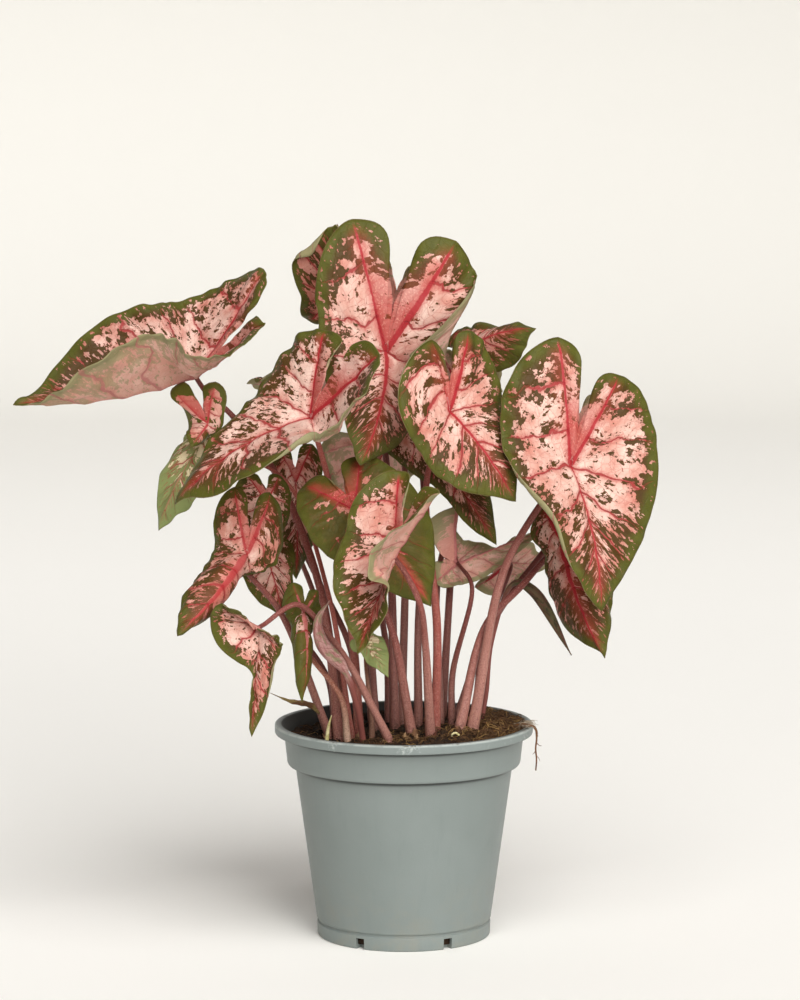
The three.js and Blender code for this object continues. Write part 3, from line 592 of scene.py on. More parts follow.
# Crumbs are rugged, flattened balls of 80 faces.
crumb_points, crumb_faces = [], []
builder = bmesh.new()
bmesh.ops.create_icosphere(builder, subdivisions=2, radius=1)
ball_points = np.array([v.co[:] for v in builder.verts])
ball_faces = [[v.index for v in face.verts] for face in builder.faces]
builder.free()
for _ in range(CRUMBS):
    angle, spread = rng.uniform(0, 2 * math.pi), (SOIL_RADIUS - 0.5) * math.sqrt(rng.uniform(0, 1))
    cx, cy = spread * math.cos(angle), spread * math.sin(angle)
    size = min(rng.lognormal(-0.35, 0.5), 2.4) * np.array([1, rng.uniform(0.6, 1), rng.uniform(0.5, 0.9)])
    if spread + size.max() > SOIL_RADIUS:
        continue
    rugged = 1 + 0.22 * np.sin(ball_points @ rng.normal(0, 2.2, (3, 1)) + rng.uniform(0, 6)) \
        + 0.12 * np.sin(ball_points @ rng.normal(0, 5, (3, 1)) + rng.uniform(0, 6))
    turn = rng.uniform(0, 2 * math.pi)
    spin = np.array([[math.cos(turn), -math.sin(turn), 0], [math.sin(turn), math.cos(turn), 0], [0, 0, 1]])
    lump = (ball_points * rugged * size) @ spin.T + (cx, cy, float(soil_height(cx, cy)) + 0.1 * size[2])
    crumb_faces.extend([[index + len(crumb_points) for index in face] for face in ball_faces])
    crumb_points.extend(lump)
crumbs = new_piece("peat_crumbs", np.array(crumb_points) * MM, crumb_faces, peat_finish)
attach(crumbs, "root")


# ---- tubers -------------------------------------------------------------------------------------
# Two flattened tubers side by side in the soil, with a rough brown skin ringed by old leaf scars.
# The stalks grow from their shoulders. The soil hides them.

skin = Finish("tuber_skin", roughness=0.85)
place = skin.node("NewGeometry", output="Position")
rings = skin.noise(skin.stretched(place, (60, 60, 420)), 1, 4, 0.6)
warts = skin.cells(place, 260)
colour = skin.mix(paint("5b412b"), paint("93734d"), rings)
colour = skin.mix(colour, paint("3a281a"), warts.rise(0.35, 0.1) * 0.7)
tuber_finish = skin.finish(colour, None, rings * 0.6 + warts * 0.5, 0.001)
for name in ("tuber_left", "tuber_right"):
    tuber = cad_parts[name]
    tuber.data.materials.clear()
    tuber.data.materials.append(tuber_finish)


# ---- leaf blades --------------------------------------------------------------------------------
# Twenty-seven thin, heart-shaped blades, each hung by its hub from the top of a stalk. They are pink
# and cream with an olive margin and dark mottling, red at the veins, and quilted between them.
# A blade is a closed skin, up to 0.7 mm thick beside its ribs, over a flat plan bowed from rib to rib.

# Half the outline of the flat plan, tip to notch: along the midrib and across, in hub-to-tip lengths.
HALF_OUTLINE = np.array([
    (1, 0), (0.89, 0.09), (0.71, 0.26), (0.47, 0.42), (0.2, 0.51), (-0.08, 0.54),
    (-0.34, 0.5), (-0.53, 0.38), (-0.6, 0.21), (-0.55, 0.08), (-0.33, 0.04), (-0.15, 0),
])
SHOULDER = (math.radians(40), 0.645)
SIDE = (math.radians(95), 0.54)
LOBE = (math.radians(157), 0.65)
ROUNDNESS = 1.15
NOTCH_START = 0.15
NOTCH_END = 0.4
PLAIN_ARCH = (0.08, 0.05, 0.05, 0.05)
PLAIN_WAVE = 2
PLAIN_PHASES = (0.8, -0.8)
PLAIN_HABIT = (0.5, 0.5, 0.5)

# Ends of the main ribs, the stalk's foot and the points that it passes, in millimetres. Side A comes
# first. arch is the bow of the tip, side A, side B and back, wave the height of the margin's waves and
# phases where they start on each side. radius is the stalk's at its foot.
# A curl folds up a margin. It has a side, a middle and a half length from tip to notch, the distance
# of its crease from the margin, the length that is folded up, and the turn in degrees.
# habit is how green, red and pale the blade is, and stalk how warm and green its stalk is and how much light
# is painted on it.
LEAVES = {
    "far_left": dict(
        hub=(-112, 10, 303), tip=(-209, -10, 290),
        lobes=((-72, -15, 332), (-73, 20, 359)), sides=((-112, -38, 318), (-120, 32, 342)),
        shoulders=((-139, -35, 328), (-154, 22, 338)),
        foot=(-35, -14), via=((-45, -2, 189), (-71, 14, 253), (-93, 14, 282)),
        arch=(-0.05, -0.1, -0.05, 0), wave=6, phases=(2.2, 2.2),
    ),
    "small_left": dict(
        hub=(-105, -5, 279), tip=(-114, -12, 267),
        lobes=((-101, -2, 302), (-126, 10, 297)), sides=((-96, -6, 284), (-118, 4, 285)),
        shoulders=((-104, -4, 272), (-116, -2, 276)),
        foot=(-28, -13), via=((-41, -8, 189), (-63, 8, 246), (-88, 7, 262)), radius=1.6,
        habit=(0.6, 0.45, 0.4),
    ),
    "pale_left": dict(
        hub=(-108, 12, 269), tip=(-132, -2, 221),
        lobes=((-103, 20, 276), (-117, 22, 271)), sides=((-104, 7, 266), (-120, 16, 267)),
        shoulders=((-107, -4, 247), (-132, 8, 249)),
        foot=(-31, 14), via=((-52, 28, 190), (-84, 30, 250)), radius=1.8,
        habit=(0.9, 0.1, 1.1),
    ),
    "broad_left": dict(
        hub=(-49, -35, 285), tip=(-120, -60, 243),
        lobes=((-13, -60, 322), (-43, -15, 331)), sides=((-38, -85, 283), (-68, -5, 312)),
        shoulders=((-55, -85, 276), (-88, -22, 288)),
        foot=(-24, -8), arch=(0.08, -0.18, 0.05, 0),
        curls=((1, 0.33, 0.2, 2, 5, 120),), habit=(0.55, 0.7, 0.6),
    ),
    "top": dict(
        hub=(-10, 0, 317), tip=(-23, -45, 261),
        lobes=((29, 8, 377), (-28, 10, 389)), sides=((29, 12, 325), (-46, -5, 334)),
        shoulders=((8, 15, 297), (-37, -30, 295)),
        foot=(-5, 4), via=((-9, 20, 250),),
        curls=((1, 0.47, 0.16, 11, 36, 160), (-1, 0.22, 0.14, 3, 6, 60)),
    ),
    "top_left": dict(
        hub=(-40, 35, 345), tip=(-37, 20, 387),
        lobes=((-52, 45, 330), (-32, 45, 333)), sides=((-56, 32, 345), (-29, 38, 351)),
        shoulders=((-59, 24, 368), (-29, 35, 370)),
        foot=(-15, 10), via=((-24, 34, 240), (-32, 52, 315)), radius=2,
        habit=(0.7, 0.6, 0.3), curls=((1, 0.2, 0.15, 5, 10, 155), (-1, 0.03, 0.1, 5, 10, 130)),
    ),
    "centre_right": dict(
        hub=(24, -30, 288), tip=(59, -45, 242),
        lobes=((34, -20, 331), (14, -25, 325)), sides=((48, -12, 308), (5, -48, 275)),
        shoulders=((55, -25, 281), (23, -52, 252)),
        foot=(17, -6),
        habit=(0.55, 0.6, 0.45), curls=((-1, 0.62, 0.2, 3, 6, 80),),
    ),
    "upper_right": dict(
        hub=(38, 20, 320), tip=(71, 0, 330),
        lobes=((26, 42, 326), (29, 22, 310)), sides=((39, 35, 328), (44, 10, 305)),
        shoulders=((56, 22, 331), (62, 2, 313)),
        foot=(20, 6), via=((20, 27, 200),), radius=2,
        habit=(0.75, 0.6, 0.4),
    ),
    "broad_right": dict(
        hub=(88, -30, 259), tip=(104, -55, 185),
        lobes=((115, -15, 307), (82, -15, 327)), sides=((134, -15, 271), (52, -38, 274)),
        shoulders=((129, -35, 226), (73, -62, 236)),
        foot=(37, -17), via=((54, -15, 202),), radius=3,
        curls=((-1, 0.27, 0.24, 3.5, 7, 140),),
    ),
    "lower_right": dict(
        hub=(85, -5, 216), tip=(107, -30, 156),
        lobes=((100, 12, 233), (74, 0, 234)), sides=((110, 5, 221), (76, 0, 208)),
        shoulders=((113, -12, 190), (79, 8, 187)),
        foot=(30, -18), via=((44, -8, 170), (64, 2, 191), (78, 12, 205)),
        habit=(0.6, 0.7, 0.5),
    ),
    "front": dict(
        hub=(-5, -70, 215), tip=(-24, -105, 170),
        lobes=((17, -90, 253), (-3, -60, 261)), sides=((-12, -105, 221), (-31, -72, 228)),
        shoulders=((-9, -112, 201), (-36, -95, 203)),
        foot=(14, -27), via=((11, -48, 168), (8, -64, 191)), arch=(0, 0.05, 0.05, 0),
        curls=((-1, 0.2, 0.15, 2, 4, 60), (1, 0.38, 0.14, 7, 14, 20)), habit=(0.35, 0.6, 0.5),
    ),
    "front_heart": dict(
        hub=(-26, -40, 236), tip=(14, -45, 186),
        lobes=((-23, -30, 265), (-53, -35, 250)), sides=((-5, -32, 257), (-51, -48, 226)),
        shoulders=((17, -35, 218), (-28, -52, 206)),
        foot=(4, -23), via=((-6, -30, 170),),
        habit=(1.25, 1.0, 0.3),
    ),
    "front_small": dict(
        hub=(-21, -30, 163), tip=(-8, -42, 148),
        lobes=((-15, -23, 169), (-26, -24, 167)), sides=((-10, -28, 164), (-23, -35, 159)),
        foot=(-17, -18), radius=1.5, wave=0.8,
        habit=(1.0, 0, 1.1), stalk=(0.2, 0.2, 0.9),
    ),
    "lower_left": dict(
        hub=(-83, -45, 214), tip=(-119, -75, 175),
        lobes=((-70, -35, 246), (-90, -35, 249)), sides=((-74, -36, 205), (-100, -40, 221)),
        shoulders=((-89, -40, 198), (-107, -45, 205)),
        foot=(-40, -8), via=((-66, -24, 180),), radius=2.4,
        habit=(0.65, 0.3, 0.4),
    ),
    "hanging_left": dict(
        hub=(-76, -72, 179), tip=(-79, -87, 124),
        lobes=((-68, -82, 176), (-94, -76, 193)), sides=((-63, -77, 171), (-101, -76, 182)),
        shoulders=((-67, -80, 160), (-81, -84, 159)),
        foot=(-8, -30), via=((-29, -37, 154), (-39, -42, 169), (-56, -50, 188)), radius=2.3,
        arch=(0, 0.05, 0.05, 0), wave=1, curls=((1, 0.25, 0.2, 2.5, 5, 110),),
    ),
    "narrow_left": dict(
        hub=(-53, -45, 183), tip=(-54, -60, 137),
        lobes=((-46, -39, 194), (-59, -38, 198)), sides=((-46, -38, 182), (-61, -43, 179)),
        shoulders=((-50, -42, 168), (-59, -48, 166)),
        foot=(-30, -24), radius=1.8, wave=1,
        habit=(1.6, 0.1, 0.6), stalk=(0.3, 0.2, 1.6),
    ),
    "inner_left": dict(
        hub=(-73, 0, 204), tip=(-65, -10, 173),
        lobes=((-65, 8, 216), (-82, 5, 215)), sides=((-60, 0, 199), (-87, -5, 199)),
        shoulders=((-61, -4, 184), (-79, -8, 184)),
        foot=(-37, 12), radius=1.8, wave=1.2,
    ),
    "centre": dict(
        hub=(6, 12, 275), tip=(50, 0, 213),
        lobes=((13, 20, 300), (-4, 22, 286)), sides=((28, 15, 289), (-4, 6, 258)),
        shoulders=((40, 8, 260), (14, 0, 246)),
        foot=(8, 8), radius=2.4,
    ),
    "folded_right": dict(
        hub=(29, 12, 201), tip=(77, 20, 219),
        lobes=((17, 6, 192), (27, 15, 232)), sides=((33, 8, 191), (32, 23, 213)),
        shoulders=((51, 11, 199), (51, 29, 209)),
        foot=(26, 0), radius=2, arch=(0, 0.03, 0.03, 0), wave=1,
    ),
    "curled_right": dict(
        hub=(58, 42, 198), tip=(85, 70, 195),
        lobes=((39, 32, 185), (42, 49, 191)), sides=((64, 45, 189), (60, 62, 207)),
        foot=(29, 16), via=((44, 30, 160),), radius=2, wave=1,
    ),
    "shaded_left": dict(
        hub=(-74, -4, 236), tip=(-77, -12, 204),
        lobes=((-67, 3, 251), (-85, -2, 252)), sides=((-62, 0, 235), (-91, -8, 238)),
        foot=(-31, -2), radius=2, wave=1.2,
    ),
    "shaded_inner": dict(
        hub=(-59, 22, 244), tip=(-59, 16, 192),
        lobes=((-50, 26, 265), (-68, 25, 263)), sides=((-50, 22, 240), (-67, 18, 241)),
        foot=(-24, 16), radius=2, wave=1.2,
    ),
    "back_top": dict(
        hub=(-5, 50, 337), tip=(-5, 125, 280),
        lobes=((-21, 40, 366), (14, 40, 360)), sides=((-30, 70, 335), (23, 70, 335)),
        foot=(-1, 17), via=((1, 34, 240),), radius=2.4,
    ),
    "back_centre": dict(
        hub=(31, 60, 286), tip=(44, 135, 239),
        lobes=((20, 50, 315), (45, 50, 316)), sides=((9, 80, 287), (54, 80, 293)),
        foot=(21, 24), via=((28, 42, 225),), radius=2.4,
    ),
    "back_right": dict(
        hub=(94, 45, 265), tip=(112, 120, 212),
        lobes=((77, 35, 294), (113, 35, 291)), sides=((70, 65, 263), (126, 65, 263)),
        foot=(39, 22), radius=2.6,
    ),
    "back_left": dict(
        hub=(-58, 50, 284), tip=(-71, 125, 249),
        lobes=((-79, 40, 299), (-44, 40, 307)), sides=((-78, 75, 285), (-39, 75, 285)),
        foot=(-17, 24), radius=2.4,
    ),
    "back_low": dict(
        hub=(-19, 60, 242), tip=(-16, 130, 187),
        lobes=((-30, 50, 270), (-2, 50, 270)), sides=((-44, 80, 239), (1, 80, 234)),
        foot=(-8, 26), radius=2.2,
    ),
}

BLADE_HALF = (0.12, 0.33)  # half the thickness at the margin and inside
HUB_DEPTH = 0.9
# Of main ribs and of lateral veins: their depth under the blade in millimetres, and in lengths of the
# blade their half width, the rise of the tissue beside them and how far off it levels out.
RIB_DEPTH = (0.8, 0.18)
RIB_WIDTH = (0.014, 0.01)
QUILT_RISE = (0.011, 0.009)
QUILT_WIDTH = (0.035, 0.03)
PUCKER = 0.35
RUFFLE = 1.2
SCALLOP = 0.5
CREASE_RADIUS = 3
STEPS_ROUND = (1.1, 16)  # points round half a blade, per millimetre of its length and at least
STEPS_OUT = (0.42, 6)
BLADE_SEED = 100
# Lateral veins leave the midrib and the lobes' ribs at even steps, sweep towards the tip and spread.
LATERAL_STEP = 0.2
LATERAL_SWEEP = 0.5
LATERAL_SPREAD = 1.6
LOBE_LATERAL_START = 0.17
LOBE_LATERAL_STEP = 0.24
LOBE_LATERAL_SWEEP = 0.3
LOBE_LATERAL_BEND = 0.25
LOBE_ALONG = (math.cos(LOBE[0]), math.sin(LOBE[0]))


def unit(vector):
    """A vector, or each row of an array of them, made one long."""
    return vector / np.linalg.norm(vector, axis=-1, keepdims=True)


def ribs_of(leaf):
    """Signed angles of the main ribs in the flat plan, their directions, and sizes for a unit length."""
    ribs = [(0.0, leaf["tip"], 1.0)]
    for i, sign in enumerate((1, -1)):
        if "shoulders" in leaf:
            ribs.append((sign * SHOULDER[0], leaf["shoulders"][i], SHOULDER[1]))
        ribs.append((sign * SIDE[0], leaf["sides"][i], SIDE[1]))
        ribs.append((sign * LOBE[0], leaf["lobes"][i], LOBE[1]))
    ribs.sort(key=lambda rib: rib[0])
    spans = np.array([(np.array(end, float) - leaf["hub"]) / reach for _, end, reach in ribs])
    return np.array([rib[0] for rib in ribs]), unit(spans), np.linalg.norm(spans, axis=1)


def reach_along(angle, ribs):
    """The vector from the hub, for a unit length, along any angle of the flat plan."""
    angles, directions, sizes = ribs
    last = len(angles) - 1
    if abs(angle) > LOBE[0]:
        end = last if angle > 0 else 0
        share = (abs(angle) - LOBE[0]) / (math.pi - LOBE[0])
        middle = unit(directions[0] + directions[last])
        return unit(directions[end] * (1 - share) + middle * share) * sizes[end]
    i = min(int(np.searchsorted(angles, angle, side="right")) - 1, last - 1)
    step = angles[i + 1] - angles[i]
    t = (angle - angles[i]) / step

    def between(values, roundness):
        slopes = []
        for k in (i, i + 1):
            low, high = max(k - 1, 0), min(k + 1, last)
            slopes.append(roundness * step * (values[high] - values[low]) / (angles[high] - angles[low]))
        return ((2 * t ** 3 - 3 * t ** 2 + 1) * values[i] + (t ** 3 - 2 * t ** 2 + t) * slopes[0]
                + (3 * t ** 2 - 2 * t ** 3) * values[i + 1] + (t ** 3 - t ** 2) * slopes[1])

    return unit(between(directions, ROUNDNESS)) * between(sizes, 1)


def travelled(line):
    """How far along a line each of its points is."""
    return np.concatenate([[0], np.cumsum(np.linalg.norm(np.diff(line, axis=0), axis=1))])


def evenly_spaced(line, travel, count):
    """Rows of three numbers from a line, evenly spaced over the travel along it."""
    evenly = np.linspace(0, travel[-1], count)
    return np.column_stack([np.interp(evenly, travel, line[:, k]) for k in range(3)])


def flat_outline(count):
    """Evenly spaced u, w, s rows round the plan: tip to notch by side A, then back by side B."""
    s = np.linspace(0, 1, len(HALF_OUTLINE))
    knots = np.column_stack([HALF_OUTLINE, s])
    knots = np.vstack([2 * knots[0] - knots[1], knots, 2 * knots[-1] - knots[-2]])
    line = [knots[1]]
    for p0, p1, p2, p3 in zip(knots, knots[1:], knots[2:], knots[3:]):
        for t in np.linspace(0, 1, 13)[1:]:
            line.append(0.5 * (2 * p1 + (p2 - p0) * t + (2 * p0 - 5 * p1 + 4 * p2 - p3) * t * t
                               + (3 * p1 - p0 - 3 * p2 + p3) * t ** 3))
    line = np.array(line)
    side_a = evenly_spaced(line, travelled(line[:, :2]), count // 2 + 1)
    side_a[[0, -1], 1] = 0
    side_b = side_a[-2:0:-1] * (1, -1, 1)
    return np.vstack([side_a, side_b])


def along_lobe(u, across):
    """Where a point is along a lobe's rib and beside it, on the midrib's side. Takes sockets too."""
    return u * LOBE_ALONG[0] + across * LOBE_ALONG[1], u * LOBE_ALONG[1] - across * LOBE_ALONG[0]


def midrib_laterals(u, across):
    """Where on the midrib a lateral vein through a point would start. Takes sockets too."""
    return (u - LATERAL_SWEEP * across) / (1 + LATERAL_SPREAD * across)


def lobe_laterals(up, beside):
    """How far up a lobe's rib, past its first lateral vein, one through a point would start."""
    return up - LOBE_LATERAL_SWEEP * beside + LOBE_LATERAL_BEND * beside * beside - LOBE_LATERAL_START


def vein_distances(u, w):
    """Distances in the flat plan to the nearest main rib and to the nearest lateral vein."""
    across = np.abs(w)
    up, beside = along_lobe(u, across)
    main = np.minimum(np.where(u > 0, across, np.hypot(u, w)), np.where(up > 0, np.abs(beside), 9))
    ahead = midrib_laterals(u, across)
    lateral = np.abs((ahead + LATERAL_STEP / 2) % LATERAL_STEP - LATERAL_STEP / 2)
    lateral = np.where(ahead > -0.05, lateral * (1 + LATERAL_SPREAD * across) * 0.82, 9)
    behind = lobe_laterals(up, beside)
    lobe = np.abs((behind + LOBE_LATERAL_STEP / 2) % LOBE_LATERAL_STEP - LOBE_LATERAL_STEP / 2)
    lobe = np.where((ahead < -0.03) & (beside > 0) & (behind > -0.1), lobe * 0.9, 9)
    return main, np.minimum(lateral, lobe)


def bowed_ribs(leaf, outline):
    """For each point of the outline: its vector from the hub, the blade's normal, its bow and its wave."""
    ribs = ribs_of(leaf)
    arch = leaf.get("arch", PLAIN_ARCH)
    phases = leaf.get("phases", PLAIN_PHASES)
    height = leaf.get("wave", PLAIN_WAVE)
    notch = (reach_along(math.pi, ribs) + reach_along(-math.pi, ribs)) / 2
    ways, normals, bow, wave = [], [], [], []
    for u, w, s in outline:
        distance, angle = math.hypot(u, w), math.atan2(w, u)
        to_notch = smooth_step((NOTCH_END - distance) / (NOTCH_END - NOTCH_START))
        reach = reach_along(angle, ribs) * (1 - to_notch) + notch * to_notch
        ahead, behind = min(angle + 0.02, math.pi), max(angle - 0.02, -math.pi)
        ways.append(reach * distance)
        normals.append(unit(np.cross(reach, reach_along(ahead, ribs) - reach_along(behind, ribs))))
        bow.append(arch[0] * max(math.cos(angle), 0) ** 2 + arch[3] * max(-math.cos(angle), 0) ** 2
                   + arch[1 if angle >= 0 else 2] * math.sin(angle) ** 2)
        phase = phases[0] if w >= 0 else phases[1]
        wave.append(height * math.sin(5 * math.pi * s + phase) * math.sin(math.pi * s))
    return map(np.array, (ways, normals, bow, wave))


def fold_margins(leaf, outline, spans, rho, lift):
    """How far out and how high each point lies once the leaf's curls are folded up.

    A curl bends at its crease and goes on straight. Its free length may be more than it took away.
    """
    out = rho * spans
    for side, middle, half, inset, flap, turn in leaf.get("curls", ()):
        strength = smooth_step(1 - np.abs(outline[:, 2] - middle) / half) * (outline[:, 1] * side >= 0)
        grown = rho * (spans + (flap - inset) * strength)
        beyond = np.maximum(grown - (spans - inset * strength), 0)
        angle = np.maximum(math.radians(abs(turn)) * smooth_step(3 * strength), 1e-4)
        radius = min(CREASE_RADIUS, flap / math.radians(abs(turn)))
        bent = np.minimum(beyond / radius, angle)
        straight = np.maximum(beyond - radius * angle, 0)
        active = strength > 0
        out = np.where(active, grown - beyond + radius * np.sin(bent) + straight * np.cos(bent), out)
        rise = math.copysign(1, turn) * (radius * (1 - np.cos(bent)) + straight * np.sin(bent))
        lift = lift * np.where(active, np.cos(np.minimum(bent, 1.5)), 1) + np.where(active, rise, 0)
    return out, lift


def skin_faces(count, rings):
    """Faces of a top and an underside, each a middle point and rings round it, joined at the margin."""
    below = 1 + rings * count
    edge = 1 + (rings - 1) * count
    faces = []
    for i in range(count):
        j = (i + 1) % count
        faces.append((0, 1 + i, 1 + j))
        faces.append((below, below + 1 + j, below + 1 + i))
        for ring in range(rings - 1):
            inner, outer = 1 + ring * count, 1 + (ring + 1) * count
            faces.append((inner + i, outer + i, outer + j, inner + j))
            faces.append((below + inner + j, below + outer + j, below + outer + i, below + inner + i))
        faces.append((edge + i, below + edge + i, below + edge + j, edge + j))
    return faces


def blade_skin(leaf, draw):
    """Points, faces and kept vectors of a blade, and the normal of its top at the hub."""
    hub = np.array(leaf["hub"], float)
    length = np.linalg.norm(np.array(leaf["tip"]) - hub)
    outline = flat_outline(2 * round(STEPS_ROUND[0] * length + STEPS_ROUND[1]))
    count = len(outline)
    rings = round(STEPS_OUT[0] * length + STEPS_OUT[1])
    rho = np.linspace(0, 1, rings + 1)[1:, None]
    ways, normals, bow, wave = bowed_ribs(leaf, outline)
    edge_u, edge_w = outline[:, 0] * length, outline[:, 1] * length
    scallop = lumps(edge_u, edge_w, wavelets(9, 10, 30, draw.integers(1, 1 << 30)))
    ways *= (1 + SCALLOP / length * scallop * np.sin(math.pi * outline[:, 2]))[:, None]
    spans = np.linalg.norm(ways, axis=1)
    plan_u, plan_w = rho * outline[:, 0], rho * outline[:, 1]

    # Distance to the margin, with the notch counted as further away so that it stays pink.
    rim = np.full(plan_u.shape, 9.0)
    for u, w, s in outline:
        inwards = 0.14 * smooth_step((s - 0.8) / 0.16)
        rim = np.minimum(rim, np.hypot(plan_u - u, plan_w - w) + inwards)
    rim *= length

    # The middle of the sheet: bowed, waved, quilted between the veins, puckered and folded.
    main, lateral = vein_distances(plan_u, plan_w)
    quilt = QUILT_RISE[0] * (1 - np.exp(-(main / QUILT_WIDTH[0]) ** 2)) \
        + QUILT_RISE[1] * (1 - np.exp(-(lateral / QUILT_WIDTH[1]) ** 2))
    pucker = lumps(plan_u * length, plan_w * length, wavelets(18, 5, 16, draw.integers(1, 1 << 30)))
    ruffle = lumps(edge_u, edge_w, wavelets(12, 9, 24, draw.integers(1, 1 << 30)))
    lift = bow * spans * 4 * rho * (1 - rho) + (wave + RUFFLE * ruffle) * rho ** 3
    lift = lift + quilt * length * smooth_step(rim / 7) + PUCKER * pucker * rho
    out, lift = fold_margins(leaf, outline, spans, rho, lift)
    middle = hub + unit(ways) * out[..., None] + normals * lift[..., None]
    hub_normal = unit(np.cross(middle[0] - hub, np.roll(middle[0], -1, axis=0) - hub).sum(0))

    # Its two faces, the lower one further off under the veins.
    outward = np.diff(np.concatenate([np.broadcast_to(hub, (1, count, 3)), middle]), axis=0)
    outward[:-1] += outward[1:]
    sideways = np.roll(middle, -1, axis=1) - np.roll(middle, 1, axis=1)
    facing = unit(np.cross(outward, sideways) + 1e-9 * hub_normal)
    half = BLADE_HALF[0] + (BLADE_HALF[1] - BLADE_HALF[0]) * smooth_step(rim / 4)
    rib = RIB_DEPTH[0] * np.exp(-(main / RIB_WIDTH[0]) ** 2) * smooth_step(rim / 14)
    rib = rib + RIB_DEPTH[1] * np.exp(-(lateral / RIB_WIDTH[1]) ** 2)
    top = middle + facing * half[..., None]
    under = middle - facing * (half + rib)[..., None]
    points = np.vstack([hub + BLADE_HALF[1] * hub_normal, top.reshape(-1, 3),
                        hub - HUB_DEPTH * hub_normal, under.reshape(-1, 3)])

    # What the markings are worked out from, in lengths of the blade, centimetres and millimetres.
    seed = draw.uniform(0, 40)
    u, w = np.append(0, plan_u), np.append(0, plan_w)
    ahead = midrib_laterals(u, np.abs(w))
    same = np.ones_like(u)
    cm = length / 10
    kept = {
        "plan": np.column_stack([u, w, np.append(0.15 * length, rim)]),
        "grain": np.column_stack([u * cm, w * cm, same * seed]),
        "flow": np.column_stack([ahead * cm, np.abs(w) * cm * 0.5, same * seed + np.sign(w) * 3]),
        "habit": np.tile(leaf.get("habit", PLAIN_HABIT), (len(u), 1)),
    }
    kept = {key: np.vstack([rows, rows]) for key, rows in kept.items()}
    face = np.column_stack([same, same * length, same])
    kept["face"] = np.vstack([face, face * (0, 1, 1)])
    return points, skin_faces(count, rings), kept, hub_normal


blade = Finish("variegated_blade", specular=0.22)
u, w, rim = blade.parts(blade.held("plan"))
green, red, pale = blade.parts(blade.held("habit"))
upper, length, _ = blade.parts(blade.held("face"))
grain = blade.held("grain")
flow = blade.held("flow")
drift = blade.noise(grain, 1.1, 3) - 0.5
across = abs(w + drift * 0.012)
u = u + drift * 0.02
up, beside = along_lobe(u, across)
ahead = midrib_laterals(u, across) + (blade.noise(grain, 0.55, 2) - 0.5) * 0.16
behind = lobe_laterals(up, beside) + drift * 0.16
from_hub = (u * u + w * w) ** 0.5

midrib = across + (0 - u).most(0) * 2
lobe_rib = abs(beside) + (0 - up).most(0) * 2
lateral = ahead.fold(LATERAL_STEP / 2) * (0.82 + 1.3 * across) + (-0.04 - ahead).most(0) * 2
lobe_lateral = behind.fold(LOBE_LATERAL_STEP / 2) * 0.9 + (ahead + 0.02).most(0) * 2 \
    + (0 - beside).most(0) * 2 + (-0.1 - behind).most(0) * 2
main = midrib.least(lobe_rib)
side_vein = lateral.least(lobe_lateral)
ragged = blade.noise(grain, 9, 3, 0.7)
main_line = (main / (0.0135 - 0.0105 * from_hub) + ragged - 0.5).rise(1.25, 0.7)
side_line = (side_vein / (0.0095 - 0.0085 * across) + ragged * 1.4 - 0.7).rise(1.2, 0.55)
main_glow = (main / (0.06 - 0.035 * from_hub) + ragged - 0.5).rise(1, 0.1)
side_glow = (side_vein / (0.042 - 0.03 * across) + ragged * 1.6 - 0.8).rise(1, 0.1) * 0.85
glow = main_glow.most(side_glow)
net = blade.cells(blade.stretched(grain, (1, 1, 0)), 2.6, "DISTANCE_TO_EDGE").rise(0.045, 0.0)
fine_net = blade.cells(blade.stretched(grain, (1, 1, 0)), 7.5, "DISTANCE_TO_EDGE").rise(0.06, 0.0)

# Cream to pink tissue, redder round the veins.
tint = blade.noise(grain, 0.9, 4)
mealy = blade.noise(grain, 11, 4, 0.7)
tissue = blade.mix(paint("edcebf"), paint("c57a69"), (tint + 0.46 - pale + from_hub * 0.3).rise(0.28, 0.86))
tissue = blade.mix(tissue, paint("b8605a"), net * 0.42 + fine_net * 0.3 * mealy.rise(0.35, 0.6))
tissue = blade.mix(tissue, paint("e8b3a3"), mealy.rise(0.5, 0.7) * 0.35)
tissue = blade.mix(tissue, paint("dbd2a6"), (pale - 0.7).most(0) * 2)
tissue = blade.mix(tissue, paint("b5393a"), glow * (0.36 + red * 0.48))
frayed = blade.noise(grain, 2.2, 4, 0.65) - 0.5
band = (beside + frayed * 0.05).rise(0.012, -0.006) * (beside + frayed * 0.12).rise(-0.17, -0.05) \
    * (up + frayed * 0.4).rise(0.56, 0.2) * up.rise(-0.03, 0.03)
freckles = blade.noise(grain, 16, 2).rise(0.56, 0.66)
freckled = blade.mix(paint("b3403c"), paint("d98e7e"), freckles * 0.7)
tissue = blade.mix(tissue, freckled, band * (0.5 + red * 0.5))

# Olive margin and brown-green mottles, torn at their edges, that keep clear of the veins.
frill = (blade.noise(grain, 5, 3, 0.7) - 0.5) * 0.2
torn = blade.noise(flow, 1.9, 3, 0.6) * 0.8 + blade.noise(grain, 0.6, 2) * 0.2 + frill
width = (4 + 18 * blade.noise(grain, 0.8, 3) - 6 * (1 - green)) * (length / 70).least(1)
near = (rim / width).rise(1.0, 0.1)
spread = torn + near * 0.36 + (green - 0.5) * 0.14 + from_hub * 0.26 - 0.035
clear = (main_line * 0.2 + side_line * 0.05 + band * 0.05) * rim.rise(0.5, 5)
mottled = (spread - clear).rise(0.58, 0.606)
islands = (blade.noise(flow, 4.6, 3, 0.62) + frill + from_hub * 0.05 - clear).rise(0.61, 0.64)
mottled = mottled.most(islands)
flecks = (blade.noise(flow, 6, 3, 0.6) + rim.rise(2, 9) * 0.045).rise(0.6, 0.62) * (1.4 - green).least(1)
mottled = mottled * (1 - flecks * rim.rise(0.8, 2.5) * 0.85)
deep = (rim + 9 * blade.noise(grain, 1.3, 3)).rise(7, 13)
olive = blade.mix(paint("616021"), paint("434511"), blade.noise(grain, 1.7, 4))
